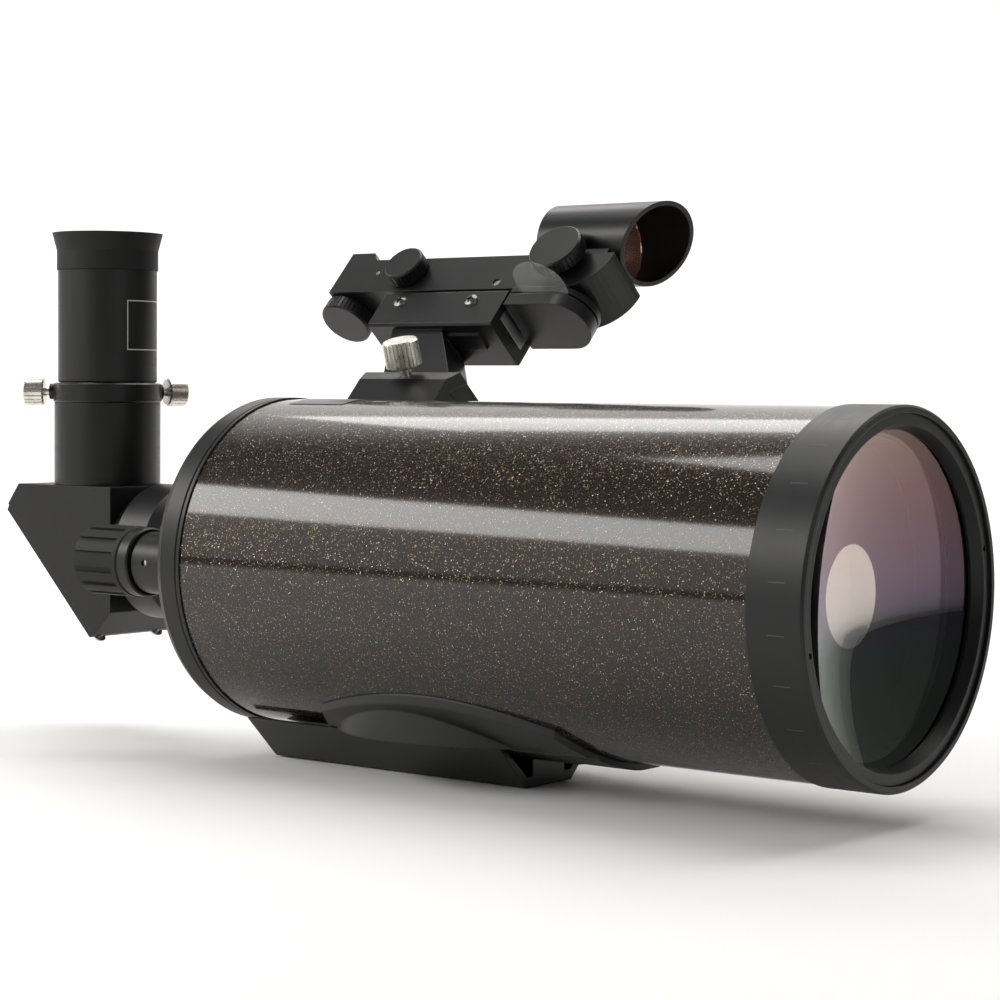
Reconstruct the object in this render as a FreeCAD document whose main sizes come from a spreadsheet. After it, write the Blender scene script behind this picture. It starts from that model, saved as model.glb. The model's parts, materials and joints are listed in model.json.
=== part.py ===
"""90 mm Maksutov-Cassegrain telescope with star diagonal, eyepiece and red-dot sight.

Frame: millimetres, +Z up, +X towards the sky along the optical axis, origin at the centre of
the underside of the dovetail bar.  The sight stands on a line rolled about the optical axis
towards +Y; its bodies are drawn upright about that axis and rolled as a last step.
"""
import FreeCAD, Part
import math
import os
import re

import Sketcher

FUNCTIONS = {"sqrt", "sin", "cos", "tan", "deg"}

SIZES = [
    # main tube, in the order sky to observer
    ("axis_height", 61.1, "optical axis above the underside of the bar"),
    ("rim_x", 167.2, "front rim of the front ring"),
    ("ring_radius", 51.6, "front ring"),
    ("rear_radius", 51.5, "rim of the rear cell"),
    ("front_ring_length", 16.8, "visible length of the front ring"),
    ("spigot_length", 10, "length of each ring inside the tube"),
    ("spigot_radius", 49.6, "part of each ring inside the tube"),
    ("ring_chamfer", 0.7, "edge break of both rings"),
    ("tube_radius", 51.05, "outside of the tube"),
    ("tube_wall", 1.4, "wall of the tube"),
    ("cell_front_x", -52.3, "front edge of the rear cell's rim"),
    ("cell_back_x", -63.2, "back face of the rear cell"),
    ("cell_plate", 5, "thickness of the rear cell's back plate"),
    ("cell_inner_radius", 47.6, "inside of the rear cell"),
    ("cell_boss_radius", 17, "boss that carries the baffle tube"),
    ("cell_boss_length", 12, "boss length from the back face"),
    ("lip_groove", 0.5, "groove round the rear cell behind its front lip"),
    # corrector
    ("lens_radius", 46, "meniscus edge radius"),
    ("lens_setback", 5.2, "rim to the front edge of the meniscus"),
    ("lens_thickness", 9.5, "meniscus thickness on the axis"),
    ("front_curve", 130, "hollow front surface of the meniscus"),
    ("back_curve", 135, "bulging back surface of the meniscus"),
    ("lens_fit", 0.3, "room round the edge of the meniscus"),
    ("seat_radius", 45, "clear aperture radius"),
    ("retainer_radius", 49.3, "outside of the retaining ring"),
    ("retainer_setback", 0.9, "retaining ring below the rim"),
    ("spanner_circle", 47.6, "radius of the spanner holes' circle"),
    ("spanner_hole", 0.85, "radius of each spanner hole"),
    ("spanner_angle", 13.9, "turn of the retaining ring"),
    ("spot_radius", 14.65, "aluminised secondary spot"),
    ("spot_thickness", 0.25, "aluminised secondary spot"),
    # primary mirror and focus drive
    ("mirror_back_x", -36, "back of the primary at rest"),
    ("mirror_thickness", 13, "edge thickness of the primary"),
    ("mirror_radius", 46.5, "primary mirror"),
    ("mirror_curve", 470, "hollow face of the primary"),
    ("mirror_hole", 16, "hole in the primary"),
    ("baffle_radius", 12.5, "baffle tube where the carrier slides"),
    ("baffle_wall", 1.2, "wall of the baffle tube"),
    ("baffle_straight_x", -5, "front end of the sliding part"),
    ("baffle_mouth_x", 75, "front end of the baffle tube"),
    ("baffle_mouth_radius", 10.4, "baffle tube mouth"),
    ("carrier_fit", 0.06, "running clearance on the baffle tube"),
    ("carrier_flange", 40, "radius of the mirror carrier's flange"),
    ("carrier_flange_thickness", 4, "mirror carrier's flange"),
    ("carrier_length", 26, "sleeve of the mirror carrier"),
    ("lock_ring_radius", 20, "ring nut that holds the mirror on its carrier"),
    ("lock_ring_thickness", 3, "ring nut"),
    ("focus_y", -35, "focus drive beside the optical axis"),
    ("focus_rise", -0.6, "focus drive above the optical axis"),
    ("rod_radius", 2.5, "focus rod"),
    ("rod_end_x", -95, "back end of the focus rod at rest"),
    ("bushing_end_x", -80.8, "back end of the focus bushing"),
    ("bushing_radius", 9.7, "focus bushing outside the cell"),
    ("bushing_spigot", 7, "focus bushing in the cell's plate"),
    ("bushing_counterbore", 5.06, "running bore for the knob's stub"),
    ("stub_radius", 5, "knob's stub in the bushing"),
    ("stub_length", 9, "knob's stub in the bushing"),
    ("knob_flange_length", 4.8, "plain band of the focus knob"),
    ("knob_flange_radius", 10.9, "plain band of the focus knob"),
    ("knob_core_radius", 9.2, "focus knob under its grip"),
    ("knob_end_x", -106.1, "back end of the focus knob"),
    ("grip_radius", 11.2, "ribbed rubber grip"),
    ("grip_groove_depth", 0.9, "groove between two ribs"),
    ("grip_groove_width", 1.5, "groove between two ribs"),
    ("grip_end_wall", 0.8, "closed end of the grip"),
    ("set_screw_x", -74.5, "set screw of the bushing"),
    ("set_screw_radius", 1.1, "set screw of the bushing"),
    # visual back and star diagonal
    ("visual_rim_x", -112.8, "back rim of the visual back"),
    ("visual_radius", 22.3, "visual back at its rim"),
    ("visual_neck", 20.2, "visual back at the cell"),
    ("nose_bore", 15.93, "running bore for the 1.25-inch nosepiece"),
    ("nose_radius", 15.86, "1.25-inch barrel"),
    ("nose_wall", 2.2, "wall of the nosepiece"),
    ("nose_tip_x", -86, "front end of the nosepiece"),
    ("shoulder_radius", 19, "nosepiece shoulder"),
    ("shoulder_front_x", -113.1, "nosepiece shoulder"),
    ("lock_screw_x", -106, "thumbscrew of the visual back"),
    ("eyepiece_x", -139, "axis of the eyepiece"),
    ("house_front", 20.7, "diagonal's front face from the eyepiece axis"),
    ("house_top", 21.4, "diagonal's top face above the optical axis"),
    ("house_chamfer_z", -20, "start of the lower corner cut"),
    ("house_back_sum", -15.5, "x + z along the sloping back of the housing"),
    ("house_toe_x", 12.6, "lower end of the sloping back"),
    ("house_heel_x", -29.9, "upper end of the sloping back"),
    ("house_heel_top_x", -24.5, "top of the upper corner cut"),
    ("house_half_width", 18, "half width of the diagonal"),
    ("light_bore", 14.3, "light path through the diagonal"),
    ("cover_thickness", 2, "plate over the sloping back"),
    ("flat_half_width", 15, "diagonal mirror"),
    ("flat_half_length", 21, "diagonal mirror"),
    ("flat_thickness", 5, "diagonal mirror"),
    # eyepiece and its holder, heights above the optical axis
    ("holder_radius", 17.8, "eyepiece holder"),
    ("collar_foot", 49.1, "foot of the clamp collar"),
    ("collar_top", 55.7, "top of the clamp collar"),
    ("collar_radius", 18.15, "clamp collar"),
    ("collar_spigot", 16.9, "holder inside the collar"),
    ("holder_screw_height", 52.7, "thumbscrews of the holder"),
    ("barrel_foot", 30, "lower end of the eyepiece barrel"),
    ("barrel_wall", 1.4, "eyepiece barrel"),
    ("body_radius", 16.55, "eyepiece body"),
    ("body_top", 93.6, "top of the eyepiece body"),
    ("cup_band_radius", 16.95, "rubber eyecup where it grips"),
    ("cup_waist_height", 100.1, "eyecup where it starts to flare"),
    ("cup_rim_height", 106, "rim of the eyecup"),
    ("cup_rim_radius", 18.5, "rim of the eyecup"),
    ("cup_wall", 1.6, "eyecup"),
    ("eye_lens_radius", 11.5, "eye lens"),
    # dovetail bar and saddle
    ("bar_half_length", 49.7, "dovetail bar"),
    ("bar_foot_half", 11, "underside of the bar"),
    ("bar_wing_half", 24.1, "outer top edge of a wing"),
    ("bar_wing_height", 13.2, "top of the wings"),
    ("bar_floor", 3, "floor of the bar"),
    ("bar_wall", 2.6, "wing, measured level"),
    ("bar_rib_half", 7.5, "central rib of the bar"),
    ("bar_rib_height", 8, "central rib of the bar"),
    ("tripod_thread", 2.6, "quarter-inch thread in the rib"),
    ("tripod_x", 14, "quarter-inch thread in the rib"),
    ("saddle_x", 22, "centre of the saddle's wall"),
    ("saddle_half_length", 45, "saddle's wall"),
    ("saddle_half_width", 37, "saddle's wall"),
    ("skirt_x", 33, "centre of the saddle's skirt"),
    ("skirt_half_length", 78, "long sides of the skirt"),
    ("skirt_end_length", 53, "rounded ends of the skirt"),
    ("skirt_end_width", 57, "rounded ends of the skirt"),
    ("skirt_half_width", 39.4, "skirt against the tube"),
    ("skirt_thickness", 2.2, "skirt against the tube"),
    ("saddle_underside", 13.22, "saddle over the wings"),
    ("web_thickness", 1.85, "saddle under the tube, between the wings"),
    ("web_half_width", 20, "saddle under the tube, between the wings"),
    ("saddle_gap", 0.05, "room between saddle and tube"),
    ("saddle_screw_x", 30, "each screw from the middle of the bar"),
    # red-dot sight, upright about the optical axis before its roll
    ("sight_roll", 42.5, "roll of the sight about the optical axis, degrees"),
    ("shoe_back_x", -51, "finder shoe"),
    ("shoe_front_x", -11.5, "finder shoe"),
    ("shoe_half_width", 20, "finder shoe"),
    ("shoe_wall_height", 60, "top of the shoe's upright wall"),
    ("shoe_top", 66.1, "top of the shoe"),
    ("shoe_top_half", 16.5, "outer top edge of a rail"),
    ("slot_floor", 57.5, "floor of the dovetail slot"),
    ("slot_half_width", 16.3, "dovetail slot at its floor"),
    ("slot_lean", 30, "slot flanks from upright, degrees"),
    ("foot_gap", 0.2, "room round the bracket's foot"),
    ("clamp_back_x", -71, "clamp of the sight bracket"),
    ("clamp_front_x", -18, "clamp of the sight bracket"),
    ("clamp_foot", 93.5, "underside of the clamp"),
    ("clamp_floor", 98.5, "floor of the clamp's channel"),
    ("clamp_top", 108.5, "top of the clamp's cheeks"),
    ("clamp_half_width", 10.4, "clamp"),
    ("cheek", 3, "cheek of the clamp"),
    ("neck_half_width", 8, "neck of the bracket"),
    ("clamp_screw_back_x", -62.3, "rear cheek screw"),
    ("clamp_screw_front_x", -31.4, "front cheek screw"),
    ("clamp_screw_height", 104, "cheek screws"),
    ("bar_back_x", -99, "back end of the sight"),
    ("bar_under", 110, "underside of the sight"),
    ("bar_top", 125.5, "top of the sight"),
    ("sight_half_width", 10, "half width of the sight"),
    ("sight_wall", 1.6, "wall of the sight's housing"),
    ("block_top", 129, "lamp block at the back of the sight"),
    ("block_front_x", -88.7, "lamp block"),
    ("block_toe_x", -86, "lamp block"),
    ("chin_x", 1.2, "centre of the rounded chin"),
    ("chin_radius", 15, "rounded chin"),
    ("hood_axis", 139.2, "axis of the hood"),
    ("hood_radius", 13.9, "hood"),
    ("hood_wall", 1.5, "hood"),
    ("hood_back_x", -18, "hood"),
    ("hood_front_x", 21.3, "hood on its axis"),
    ("hood_rake", 24, "lean of the hood's mouth, degrees"),
    ("window_x", 6, "reflecting lens of the sight"),
    ("window_rake", 8, "lean of the reflecting lens, degrees"),
    ("window_thickness", 1.6, "reflecting lens of the sight"),
    ("bright_x", -2.6, "brightness knob"),
    ("bright_height", 121.9, "brightness knob"),
    ("bright_radius", 9.45, "brightness knob"),
    ("bright_face", 17.4, "outer face of the brightness knob"),
    ("azimuth_x", -66.5, "azimuth knob"),
    ("azimuth_height", 118.4, "azimuth knob"),
    ("azimuth_radius", 7.3, "azimuth knob"),
    ("azimuth_face", 15.5, "outer face of the azimuth knob"),
    ("altitude_x", -94.3, "altitude knob"),
    ("altitude_foot", 104, "underside of the altitude knob"),
    ("altitude_radius", 9.3, "altitude knob"),
    ("drawer_back_x", -16.8, "battery drawer"),
    ("drawer_half_width", 10.6, "battery drawer"),
    ("drawer_foot", 102, "underside of the battery drawer"),
    ("drawer_top", 106.9, "top of the battery drawer"),
    ("seat_foot", 107.7, "underside of the plate over the drawer"),
    ("cell_radius", 10, "coin cell"),
    ("cell_thickness", 3.2, "coin cell"),
    ("film_x", -2.2, "pull film"),
    ("film_out", 14.5, "centre of the pull film beside the sight"),
    ("film_radius", 9.7, "pull film"),
    ("film_thickness", 0.25, "pull film"),
    ("tilt_x", -26, "tilt pivot of the sight"),
    ("tilt_height", 113.2, "tilt pivot of the sight"),
    ("pin_radius", 1.5, "tilt pin"),
    ("pin_fit", 0.06, "running clearance of small pins"),
]

AXIS_X = FreeCAD.Vector(1, 0, 0)
AXIS_Y = FreeCAD.Vector(0, 1, 0)
AXIS_Z = FreeCAD.Vector(0, 0, 1)

doc = FreeCAD.newDocument("MaksutovTelescope")
sheet = doc.addObject("Spreadsheet::Sheet", "Sizes")
nodes = {}


def fill_sheet():
    """One row per driving size: name, value, what it is."""
    for row, (alias, value, meaning) in enumerate(SIZES, start=1):
        sheet.set("A%d" % row, alias)
        sheet.set("B%d" % row, str(value))
        sheet.set("C%d" % row, meaning)
        sheet.setAlias("B%d" % row, alias)
    doc.recompute()


def size(alias):
    return float(sheet.get(alias))


def sized(text):
    """Turn bare size names into references to the sheet's cells."""
    def reference(match):
        word = match.group(0)
        return word if word in FUNCTIONS else "Sizes." + word
    return re.sub(r"[a-z_]+", reference, str(text))


def bind(target, **formulas):
    for name, formula in formulas.items():
        target.setExpression(name, sized(formula))
    return target


def place(target, at=("0", "0", "0"), rotation=None):
    """Put a sub-part at a point whose coordinates come from the sheet."""
    if rotation is not None:
        target.Placement = FreeCAD.Placement(FreeCAD.Vector(), rotation)
    for coordinate, formula in zip("xyz", at):
        target.setExpression("Placement.Base." + coordinate, sized(formula))
    return target


def pointing(direction):
    """Rotation that carries the local X axis onto a direction."""
    return FreeCAD.Rotation(AXIS_X, FreeCAD.Vector(*direction))


def origin_plane(body, role):
    return next(item for item in body.Origin.OriginFeatures if item.Role == role)


def new_body(name):
    body = doc.addObject("PartDesign::Body", name)
    body.Label = name
    return body


def new_sketch(body, name, role):
    sketch = body.newObject("Sketcher::SketchObject", name)
    sketch.AttachmentSupport = [(origin_plane(body, role), "")]
    sketch.MapMode = "FlatFace"
    return sketch


def outline(body, name, role, points):
    """Closed polygon whose corners are bound, one by one, to the sheet."""
    sketch = new_sketch(body, name, role)
    count = len(points)
    turns = [2 * math.pi * index / count for index in range(count)]
    start = [FreeCAD.Vector(10 * math.cos(turn), 10 * math.sin(turn), 0) for turn in turns]
    for index in range(count):
        sketch.addGeometry(Part.LineSegment(start[index], start[(index + 1) % count]), False)
    for index in range(count):
        following = (index + 1) % count
        sketch.addConstraint(Sketcher.Constraint("Coincident", index, 2, following, 1))
    for index, corner in enumerate(points):
        for kind, value, formula in zip(("DistanceX", "DistanceY"), start[index], corner):
            number = sketch.addConstraint(Sketcher.Constraint(kind, index, 1, value))
            sketch.setExpression("Constraints[%d]" % number, sized(formula))
    return sketch


def disc(body, name, role, centre, radius):
    """Circle whose centre and radius are bound to the sheet."""
    sketch = new_sketch(body, name, role)
    sketch.addGeometry(Part.Circle(FreeCAD.Vector(1, 1, 0), AXIS_Z, 5), False)
    for kind, formula in zip(("DistanceX", "DistanceY"), centre):
        number = sketch.addConstraint(Sketcher.Constraint(kind, 0, 3, 1))
        sketch.setExpression("Constraints[%d]" % number, sized(formula))
    number = sketch.addConstraint(Sketcher.Constraint("Radius", 0, 5))
    sketch.setExpression("Constraints[%d]" % number, sized(radius))
    return sketch


def turned(name, profile):
    """Body of revolution about its local X axis from (distance along, radius) corners."""
    body = new_body(name)
    sketch = outline(body, name + "_profile", "XZ_Plane", profile)
    turning = body.newObject("PartDesign::Revolution", name + "_turning")
    turning.Profile = sketch
    turning.ReferenceAxis = (sketch, ["H_Axis"])
    turning.Angle = 360
    return body


def grown(body, name, sketch, length, subtract=False):
    """Pad or pocket that grows the same way on both sides of its sketch."""
    kind = "PartDesign::Pocket" if subtract else "PartDesign::Pad"
    feature = body.newObject(kind, name)
    feature.Profile = sketch
    feature.SideType = "Symmetric"
    bind(feature, Length=length)
    return feature


def slab(name, role, corners, width):
    """Prism of a bound polygon, centred on an origin plane."""
    body = new_body(name)
    grown(body, name + "_pad", outline(body, name + "_outline", role, corners), width)
    return body


def cylinder(name, radius, length, at=("0", "0", "0"), direction=(1, 0, 0)):
    rod = doc.addObject("Part::Cylinder", name)
    bind(rod, Radius=radius, Height=length)
    rotation = FreeCAD.Rotation(AXIS_Z, FreeCAD.Vector(*direction))
    return place(rod, at, rotation)


def box(name, lengths, at):
    block = doc.addObject("Part::Box", name)
    bind(block, Length=lengths[0], Width=lengths[1], Height=lengths[2])
    return place(block, at)


def sphere(name, radius, at):
    ball = doc.addObject("Part::Sphere", name)
    bind(ball, Radius=radius)
    return place(ball, at)


def joined(name, shapes):
    fuse = doc.addObject("Part::MultiFuse", name)
    fuse.Shapes = shapes
    return fuse


def cut(name, base, tools):
    result = doc.addObject("Part::Cut", name)
    result.Base = base
    result.Tool = tools[0] if len(tools) == 1 else joined(name + "_tools", tools)
    return result


def common(name, shapes):
    result = doc.addObject("Part::MultiCommon", name)
    result.Shapes = shapes
    return result


def keep(node, item):
    """Name the finished sub-part after its node."""
    item.Label = node
    nodes[node] = item
    return item


def roll(item):
    """Roll an upright sight part about the optical axis and lift it onto that axis."""
    rolled = doc.addObject("Part::Compound", item.Name + "_rolled")
    rolled.Links = [item]
    rolled.Placement = FreeCAD.Placement(FreeCAD.Vector(), FreeCAD.Rotation(AXIS_X, 0))
    bind(rolled, **{"Placement.Base.z": "axis_height"})
    rolled.Placement.Rotation = FreeCAD.Rotation(AXIS_X, -size("sight_roll"))
    return rolled


def keep_sight(node, item):
    return keep(node, roll(item))


# ---------------------------------------------------------------- main tube
ON_AXIS = ("rim_x", "0", "axis_height")


def main_tube():
    tube = turned("tube_body", [
        ("cell_front_x", "tube_radius"), ("cell_front_x", "tube_radius - tube_wall"),
        ("rim_x - front_ring_length", "tube_radius - tube_wall"),
        ("rim_x - front_ring_length", "tube_radius")])
    keep("optical_tube", place(tube, ("0", "0", "axis_height")))


def front_ring():
    ring = turned("front_ring_body", [
        ("0", "retainer_radius + 0.1"), ("0", "ring_radius - ring_chamfer"),
        ("0 - ring_chamfer", "ring_radius"), ("0 - front_ring_length", "ring_radius"),
        ("0 - front_ring_length", "spigot_radius"),
        ("0 - front_ring_length - spigot_length", "spigot_radius"),
        ("0 - front_ring_length - spigot_length", "seat_radius"),
        ("0 - lens_setback - 10.4", "seat_radius"),
        ("0 - lens_setback - 10.4", "lens_radius + lens_fit"),
        ("0 - lens_setback + 0.1", "lens_radius + lens_fit"),
        ("0 - lens_setback + 0.1", "retainer_radius + 0.1")])
    keep("front_ring", place(ring, ON_AXIS))


def corrector_retainer():
    ring = turned("retainer_body", [
        ("0 - retainer_setback", "seat_radius + 1.2"), ("0 - retainer_setback", "retainer_radius"),
        ("0 - lens_setback + 0.15", "retainer_radius"), ("0 - lens_setback + 0.15", "seat_radius"),
        ("0 - lens_setback + 1", "seat_radius")])
    place(ring, ON_AXIS)
    tools = []
    for number, side in enumerate((1, -1)):
        across = "%d * spanner_circle * cos(spanner_angle * 1deg)" % side
        up = "axis_height + %d * spanner_circle * sin(spanner_angle * 1deg)" % side
        at = ("rim_x - retainer_setback - 2", across, up)
        tools.append(cylinder("spanner_hole_%d" % number, "spanner_hole", "3", at))
    keep("corrector_retaining_ring", cut("retainer_drilled", ring, tools))


def corrector():
    """Meniscus: hollow towards the sky, bulging towards the mirror, and its mirror spot."""
    front_sag = "(front_curve - sqrt(front_curve ^ 2 - lens_radius ^ 2))"
    front_pole = "rim_x - lens_setback - %s" % front_sag
    back_pole = "%s - lens_thickness" % front_pole
    blank = cylinder("lens_blank", "lens_radius", "30", ("rim_x - lens_setback - 30", "0", "axis_height"))
    bulge = sphere("lens_back", "back_curve", ("%s + back_curve" % back_pole, "0", "axis_height"))
    hollow = sphere("lens_front", "front_curve", ("%s + front_curve" % front_pole, "0", "axis_height"))
    keep("meniscus_corrector", cut("meniscus", common("lens_solid", [blank, bulge]), [hollow]))
    disc_blank = cylinder("spot_blank", "spot_radius", "12", ("%s - 8" % back_pole, "0", "axis_height"))
    film = sphere("spot_back", "back_curve + spot_thickness",
                  ("%s + back_curve" % back_pole, "0", "axis_height"))
    face = sphere("spot_face", "back_curve", ("%s + back_curve" % back_pole, "0", "axis_height"))
    keep("secondary_mirror_spot", cut("spot", common("spot_solid", [disc_blank, film]), [face]))


def rear_cell():
    cell = turned("cell_body", [
        ("0", "baffle_radius"), ("0", "rear_radius - 3"), ("0.9", "rear_radius - 0.9"),
        ("3", "rear_radius"),
        ("cell_front_x - cell_back_x - 2", "rear_radius"),
        ("cell_front_x - cell_back_x - 1.6", "rear_radius - lip_groove"),
        ("cell_front_x - cell_back_x - 1.2", "rear_radius"),
        ("cell_front_x - cell_back_x", "rear_radius"),
        ("cell_front_x - cell_back_x", "spigot_radius"),
        ("cell_front_x - cell_back_x + spigot_length", "spigot_radius"),
        ("cell_front_x - cell_back_x + spigot_length", "cell_inner_radius"),
        ("cell_plate", "cell_inner_radius"), ("cell_plate", "cell_boss_radius"),
        ("cell_boss_length", "cell_boss_radius - 1"), ("cell_boss_length", "baffle_radius")])
    place(cell, ("cell_back_x", "0", "axis_height"))
    drive = cylinder("drive_hole", "bushing_spigot", "cell_plate + 4",
                     ("cell_back_x - 2", "focus_y", "axis_height + focus_rise"))
    tools = [drive]
    for number, (across, up) in enumerate(collimation_spots()):
        at = ("cell_back_x - 1", "%.3f" % across, "axis_height + %.3f" % up)
        tools.append(cylinder("collimation_bore_%d" % number, "1.6", "cell_plate + 2", at))
    keep("rear_cell", cut("cell_drilled", cell, tools))


def collimation_spots():
    """Three pairs of push and pull screws, clear of the focus drive."""
    circle = 38.0
    half_pair = 7.0
    angles = [base + side * half_pair for base in (60, 120, 270) for side in (-1, 1)]
    return [(circle * math.cos(math.radians(angle)), circle * math.sin(math.radians(angle)))
            for angle in angles]


def collimation_screws():
    screws = []
    for number, (across, up) in enumerate(collimation_spots()):
        screw = turned("collimation_screw_%d" % number, [
            ("-1.6", "0"), ("-1.6", "2.3"), ("-1.2", "2.6"), ("-0.02", "2.6"), ("-0.02", "1.58"),
            ("cell_plate - 1", "1.58"), ("cell_plate - 1", "0")])
        place(screw, ("cell_back_x", "%.3f" % across, "axis_height + %.3f" % up))
        socket = cylinder("collimation_socket_%d" % number, "1.2", "1.4",
                          ("cell_back_x - 2", "%.3f" % across, "axis_height + %.3f" % up))
        screws.append(cut("collimation_head_%d" % number, screw, [socket]))
    group = doc.addObject("Part::Compound", "collimation_group")
    group.Links = screws
    keep("collimation_screws", group)


def baffle_tube():
    baffle = turned("baffle_body", [
        ("cell_back_x + 0.3", "baffle_radius"), ("baffle_straight_x", "baffle_radius"),
        ("baffle_mouth_x", "baffle_mouth_radius"),
        ("baffle_mouth_x", "baffle_mouth_radius - 0.8"),
        ("baffle_straight_x", "baffle_radius - baffle_wall"),
        ("cell_back_x + 0.3", "baffle_radius - baffle_wall")])
    keep("baffle_tube", place(baffle, ("0", "0", "axis_height")))


# ---------------------------------------------------------------- focus drive
def primary_mirror():
    """Perforated concave mirror, its carrier, the ring nut that clamps it and the focus rod."""
    blank = cylinder("mirror_blank", "mirror_radius", "mirror_thickness",
                     ("mirror_back_x", "0", "axis_height"))
    sag = "(mirror_curve - sqrt(mirror_curve ^ 2 - mirror_radius ^ 2))"
    hollow = sphere("mirror_face", "mirror_curve",
                    ("mirror_back_x + mirror_thickness - %s + mirror_curve" % sag, "0", "axis_height"))
    hole = cylinder("mirror_bore", "mirror_hole", "mirror_thickness + 4",
                    ("mirror_back_x - 2", "0", "axis_height"))
    keep("primary_mirror", cut("mirror_ground", blank, [hollow, hole]))

    carrier = turned("carrier_body", [
        ("0 - carrier_flange_thickness", "baffle_radius + carrier_fit"),
        ("0 - carrier_flange_thickness", "carrier_flange"), ("0", "carrier_flange"),
        ("0", "mirror_hole - 0.1"),
        ("carrier_length - carrier_flange_thickness", "mirror_hole - 0.1"),
        ("carrier_length - carrier_flange_thickness", "baffle_radius + carrier_fit")])
    place(carrier, ("mirror_back_x", "0", "axis_height"))
    socket = cylinder("rod_socket", "rod_radius", "carrier_flange_thickness + 2",
                      ("mirror_back_x - carrier_flange_thickness - 1", "focus_y", "axis_height + focus_rise"))
    keep("mirror_carrier", cut("carrier_drilled", carrier, [socket]))

    nut = turned("lock_ring_body", [
        ("0", "mirror_hole - 0.1"), ("0", "lock_ring_radius"),
        ("lock_ring_thickness", "lock_ring_radius"), ("lock_ring_thickness", "mirror_hole - 0.1")])
    keep("mirror_lock_ring", place(nut, ("mirror_back_x + mirror_thickness - 1.85", "0", "axis_height")))

    rod = cylinder("focus_rod_bar", "rod_radius", "mirror_back_x - 0.3 - rod_end_x",
                   ("rod_end_x", "focus_y", "axis_height + focus_rise"))
    keep("focus_rod", rod)


def focus_drive():
    at_drive = ("0", "focus_y", "axis_height + focus_rise")
    bushing = turned("bushing_body", [
        ("bushing_end_x", "bushing_counterbore"), ("bushing_end_x", "bushing_radius - 0.6"),
        ("bushing_end_x + 0.6", "bushing_radius"), ("cell_back_x - 0.02", "bushing_radius"),
        ("cell_back_x - 0.02", "bushing_spigot - 0.02"),
        ("cell_back_x + cell_plate", "bushing_spigot - 0.02"),
        ("cell_back_x + cell_plate", "rod_radius + pin_fit"),
        ("bushing_end_x + stub_length + 1", "rod_radius + pin_fit"),
        ("bushing_end_x + stub_length + 1", "bushing_counterbore")])
    place(bushing, at_drive)
    hole = cylinder("set_screw_hole", "set_screw_radius", "3.4",
                    ("set_screw_x", "focus_y - bushing_radius - 1", "axis_height + focus_rise + 0.6"),
                    direction=(0, 1, 0))
    keep("focus_bushing", cut("bushing_drilled", bushing, [hole]))
    grub = cylinder("grub", "set_screw_radius - 0.02", "1.6",
                    ("set_screw_x", "focus_y - bushing_radius + 0.7", "axis_height + focus_rise + 0.6"),
                    direction=(0, 1, 0))
    keep("focus_set_screw", grub)

    core = turned("knob_body", [
        ("bushing_end_x + stub_length", "rod_radius + pin_fit"),
        ("bushing_end_x + stub_length", "stub_radius"), ("bushing_end_x - 0.4", "stub_radius"),
        ("bushing_end_x - 0.4", "knob_flange_radius - 0.5"),
        ("bushing_end_x - 0.9", "knob_flange_radius"),
        ("bushing_end_x - knob_flange_length", "knob_flange_radius"),
        ("bushing_end_x - knob_flange_length", "knob_core_radius"),
        ("knob_end_x + grip_end_wall", "knob_core_radius"), ("knob_end_x + grip_end_wall", "0"),
        ("knob_end_x + grip_end_wall + 1.6", "0"),
        ("knob_end_x + grip_end_wall + 1.6", "rod_radius + pin_fit")])
    keep("focus_knob", place(core, at_drive))
    focus_grip(at_drive)


def focus_grip(at_drive):
    """Rubber sleeve with a ring of grooves, made by one pocket and a polar pattern."""
    name = "grip_body"
    body = turned(name, [
        ("bushing_end_x - knob_flange_length - 0.05", "knob_core_radius + 0.02"),
        ("bushing_end_x - knob_flange_length - 0.05", "grip_radius - 0.5"),
        ("bushing_end_x - knob_flange_length - 0.55", "grip_radius"),
        ("knob_end_x + 1.2", "grip_radius"), ("knob_end_x", "grip_radius - 1.2"),
        ("knob_end_x", "0"), ("knob_end_x + grip_end_wall - 0.02", "0"),
        ("knob_end_x + grip_end_wall - 0.02", "knob_core_radius + 0.02")])
    first = outline(body, "grip_groove_outline", "YZ_Plane", [
        ("0 - grip_groove_width / 2", "grip_radius - grip_groove_depth"),
        ("grip_groove_width / 2", "grip_radius - grip_groove_depth"),
        ("grip_groove_width / 2 + 0.3", "grip_radius + 1"),
        ("0 - grip_groove_width / 2 - 0.3", "grip_radius + 1")])
    first.AttachmentOffset = FreeCAD.Placement(FreeCAD.Vector(0, 0, 0), FreeCAD.Rotation())
    first.setExpression("AttachmentOffset.Base.z", sized("bushing_end_x - knob_flange_length - 2.4"))
    groove = body.newObject("PartDesign::Pocket", "grip_groove")
    groove.Profile = first
    groove.Reversed = False
    bind(groove, Length="bushing_end_x - knob_flange_length - knob_end_x")
    ring = body.newObject("PartDesign::PolarPattern", "grip_grooves")
    ring.Originals = [groove]
    ring.Axis = (first, ["N_Axis"])
    ring.Angle = 360
    ring.Occurrences = 14
    body.Tip = ring
    keep("focus_knob_grip", place(body, at_drive))


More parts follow.
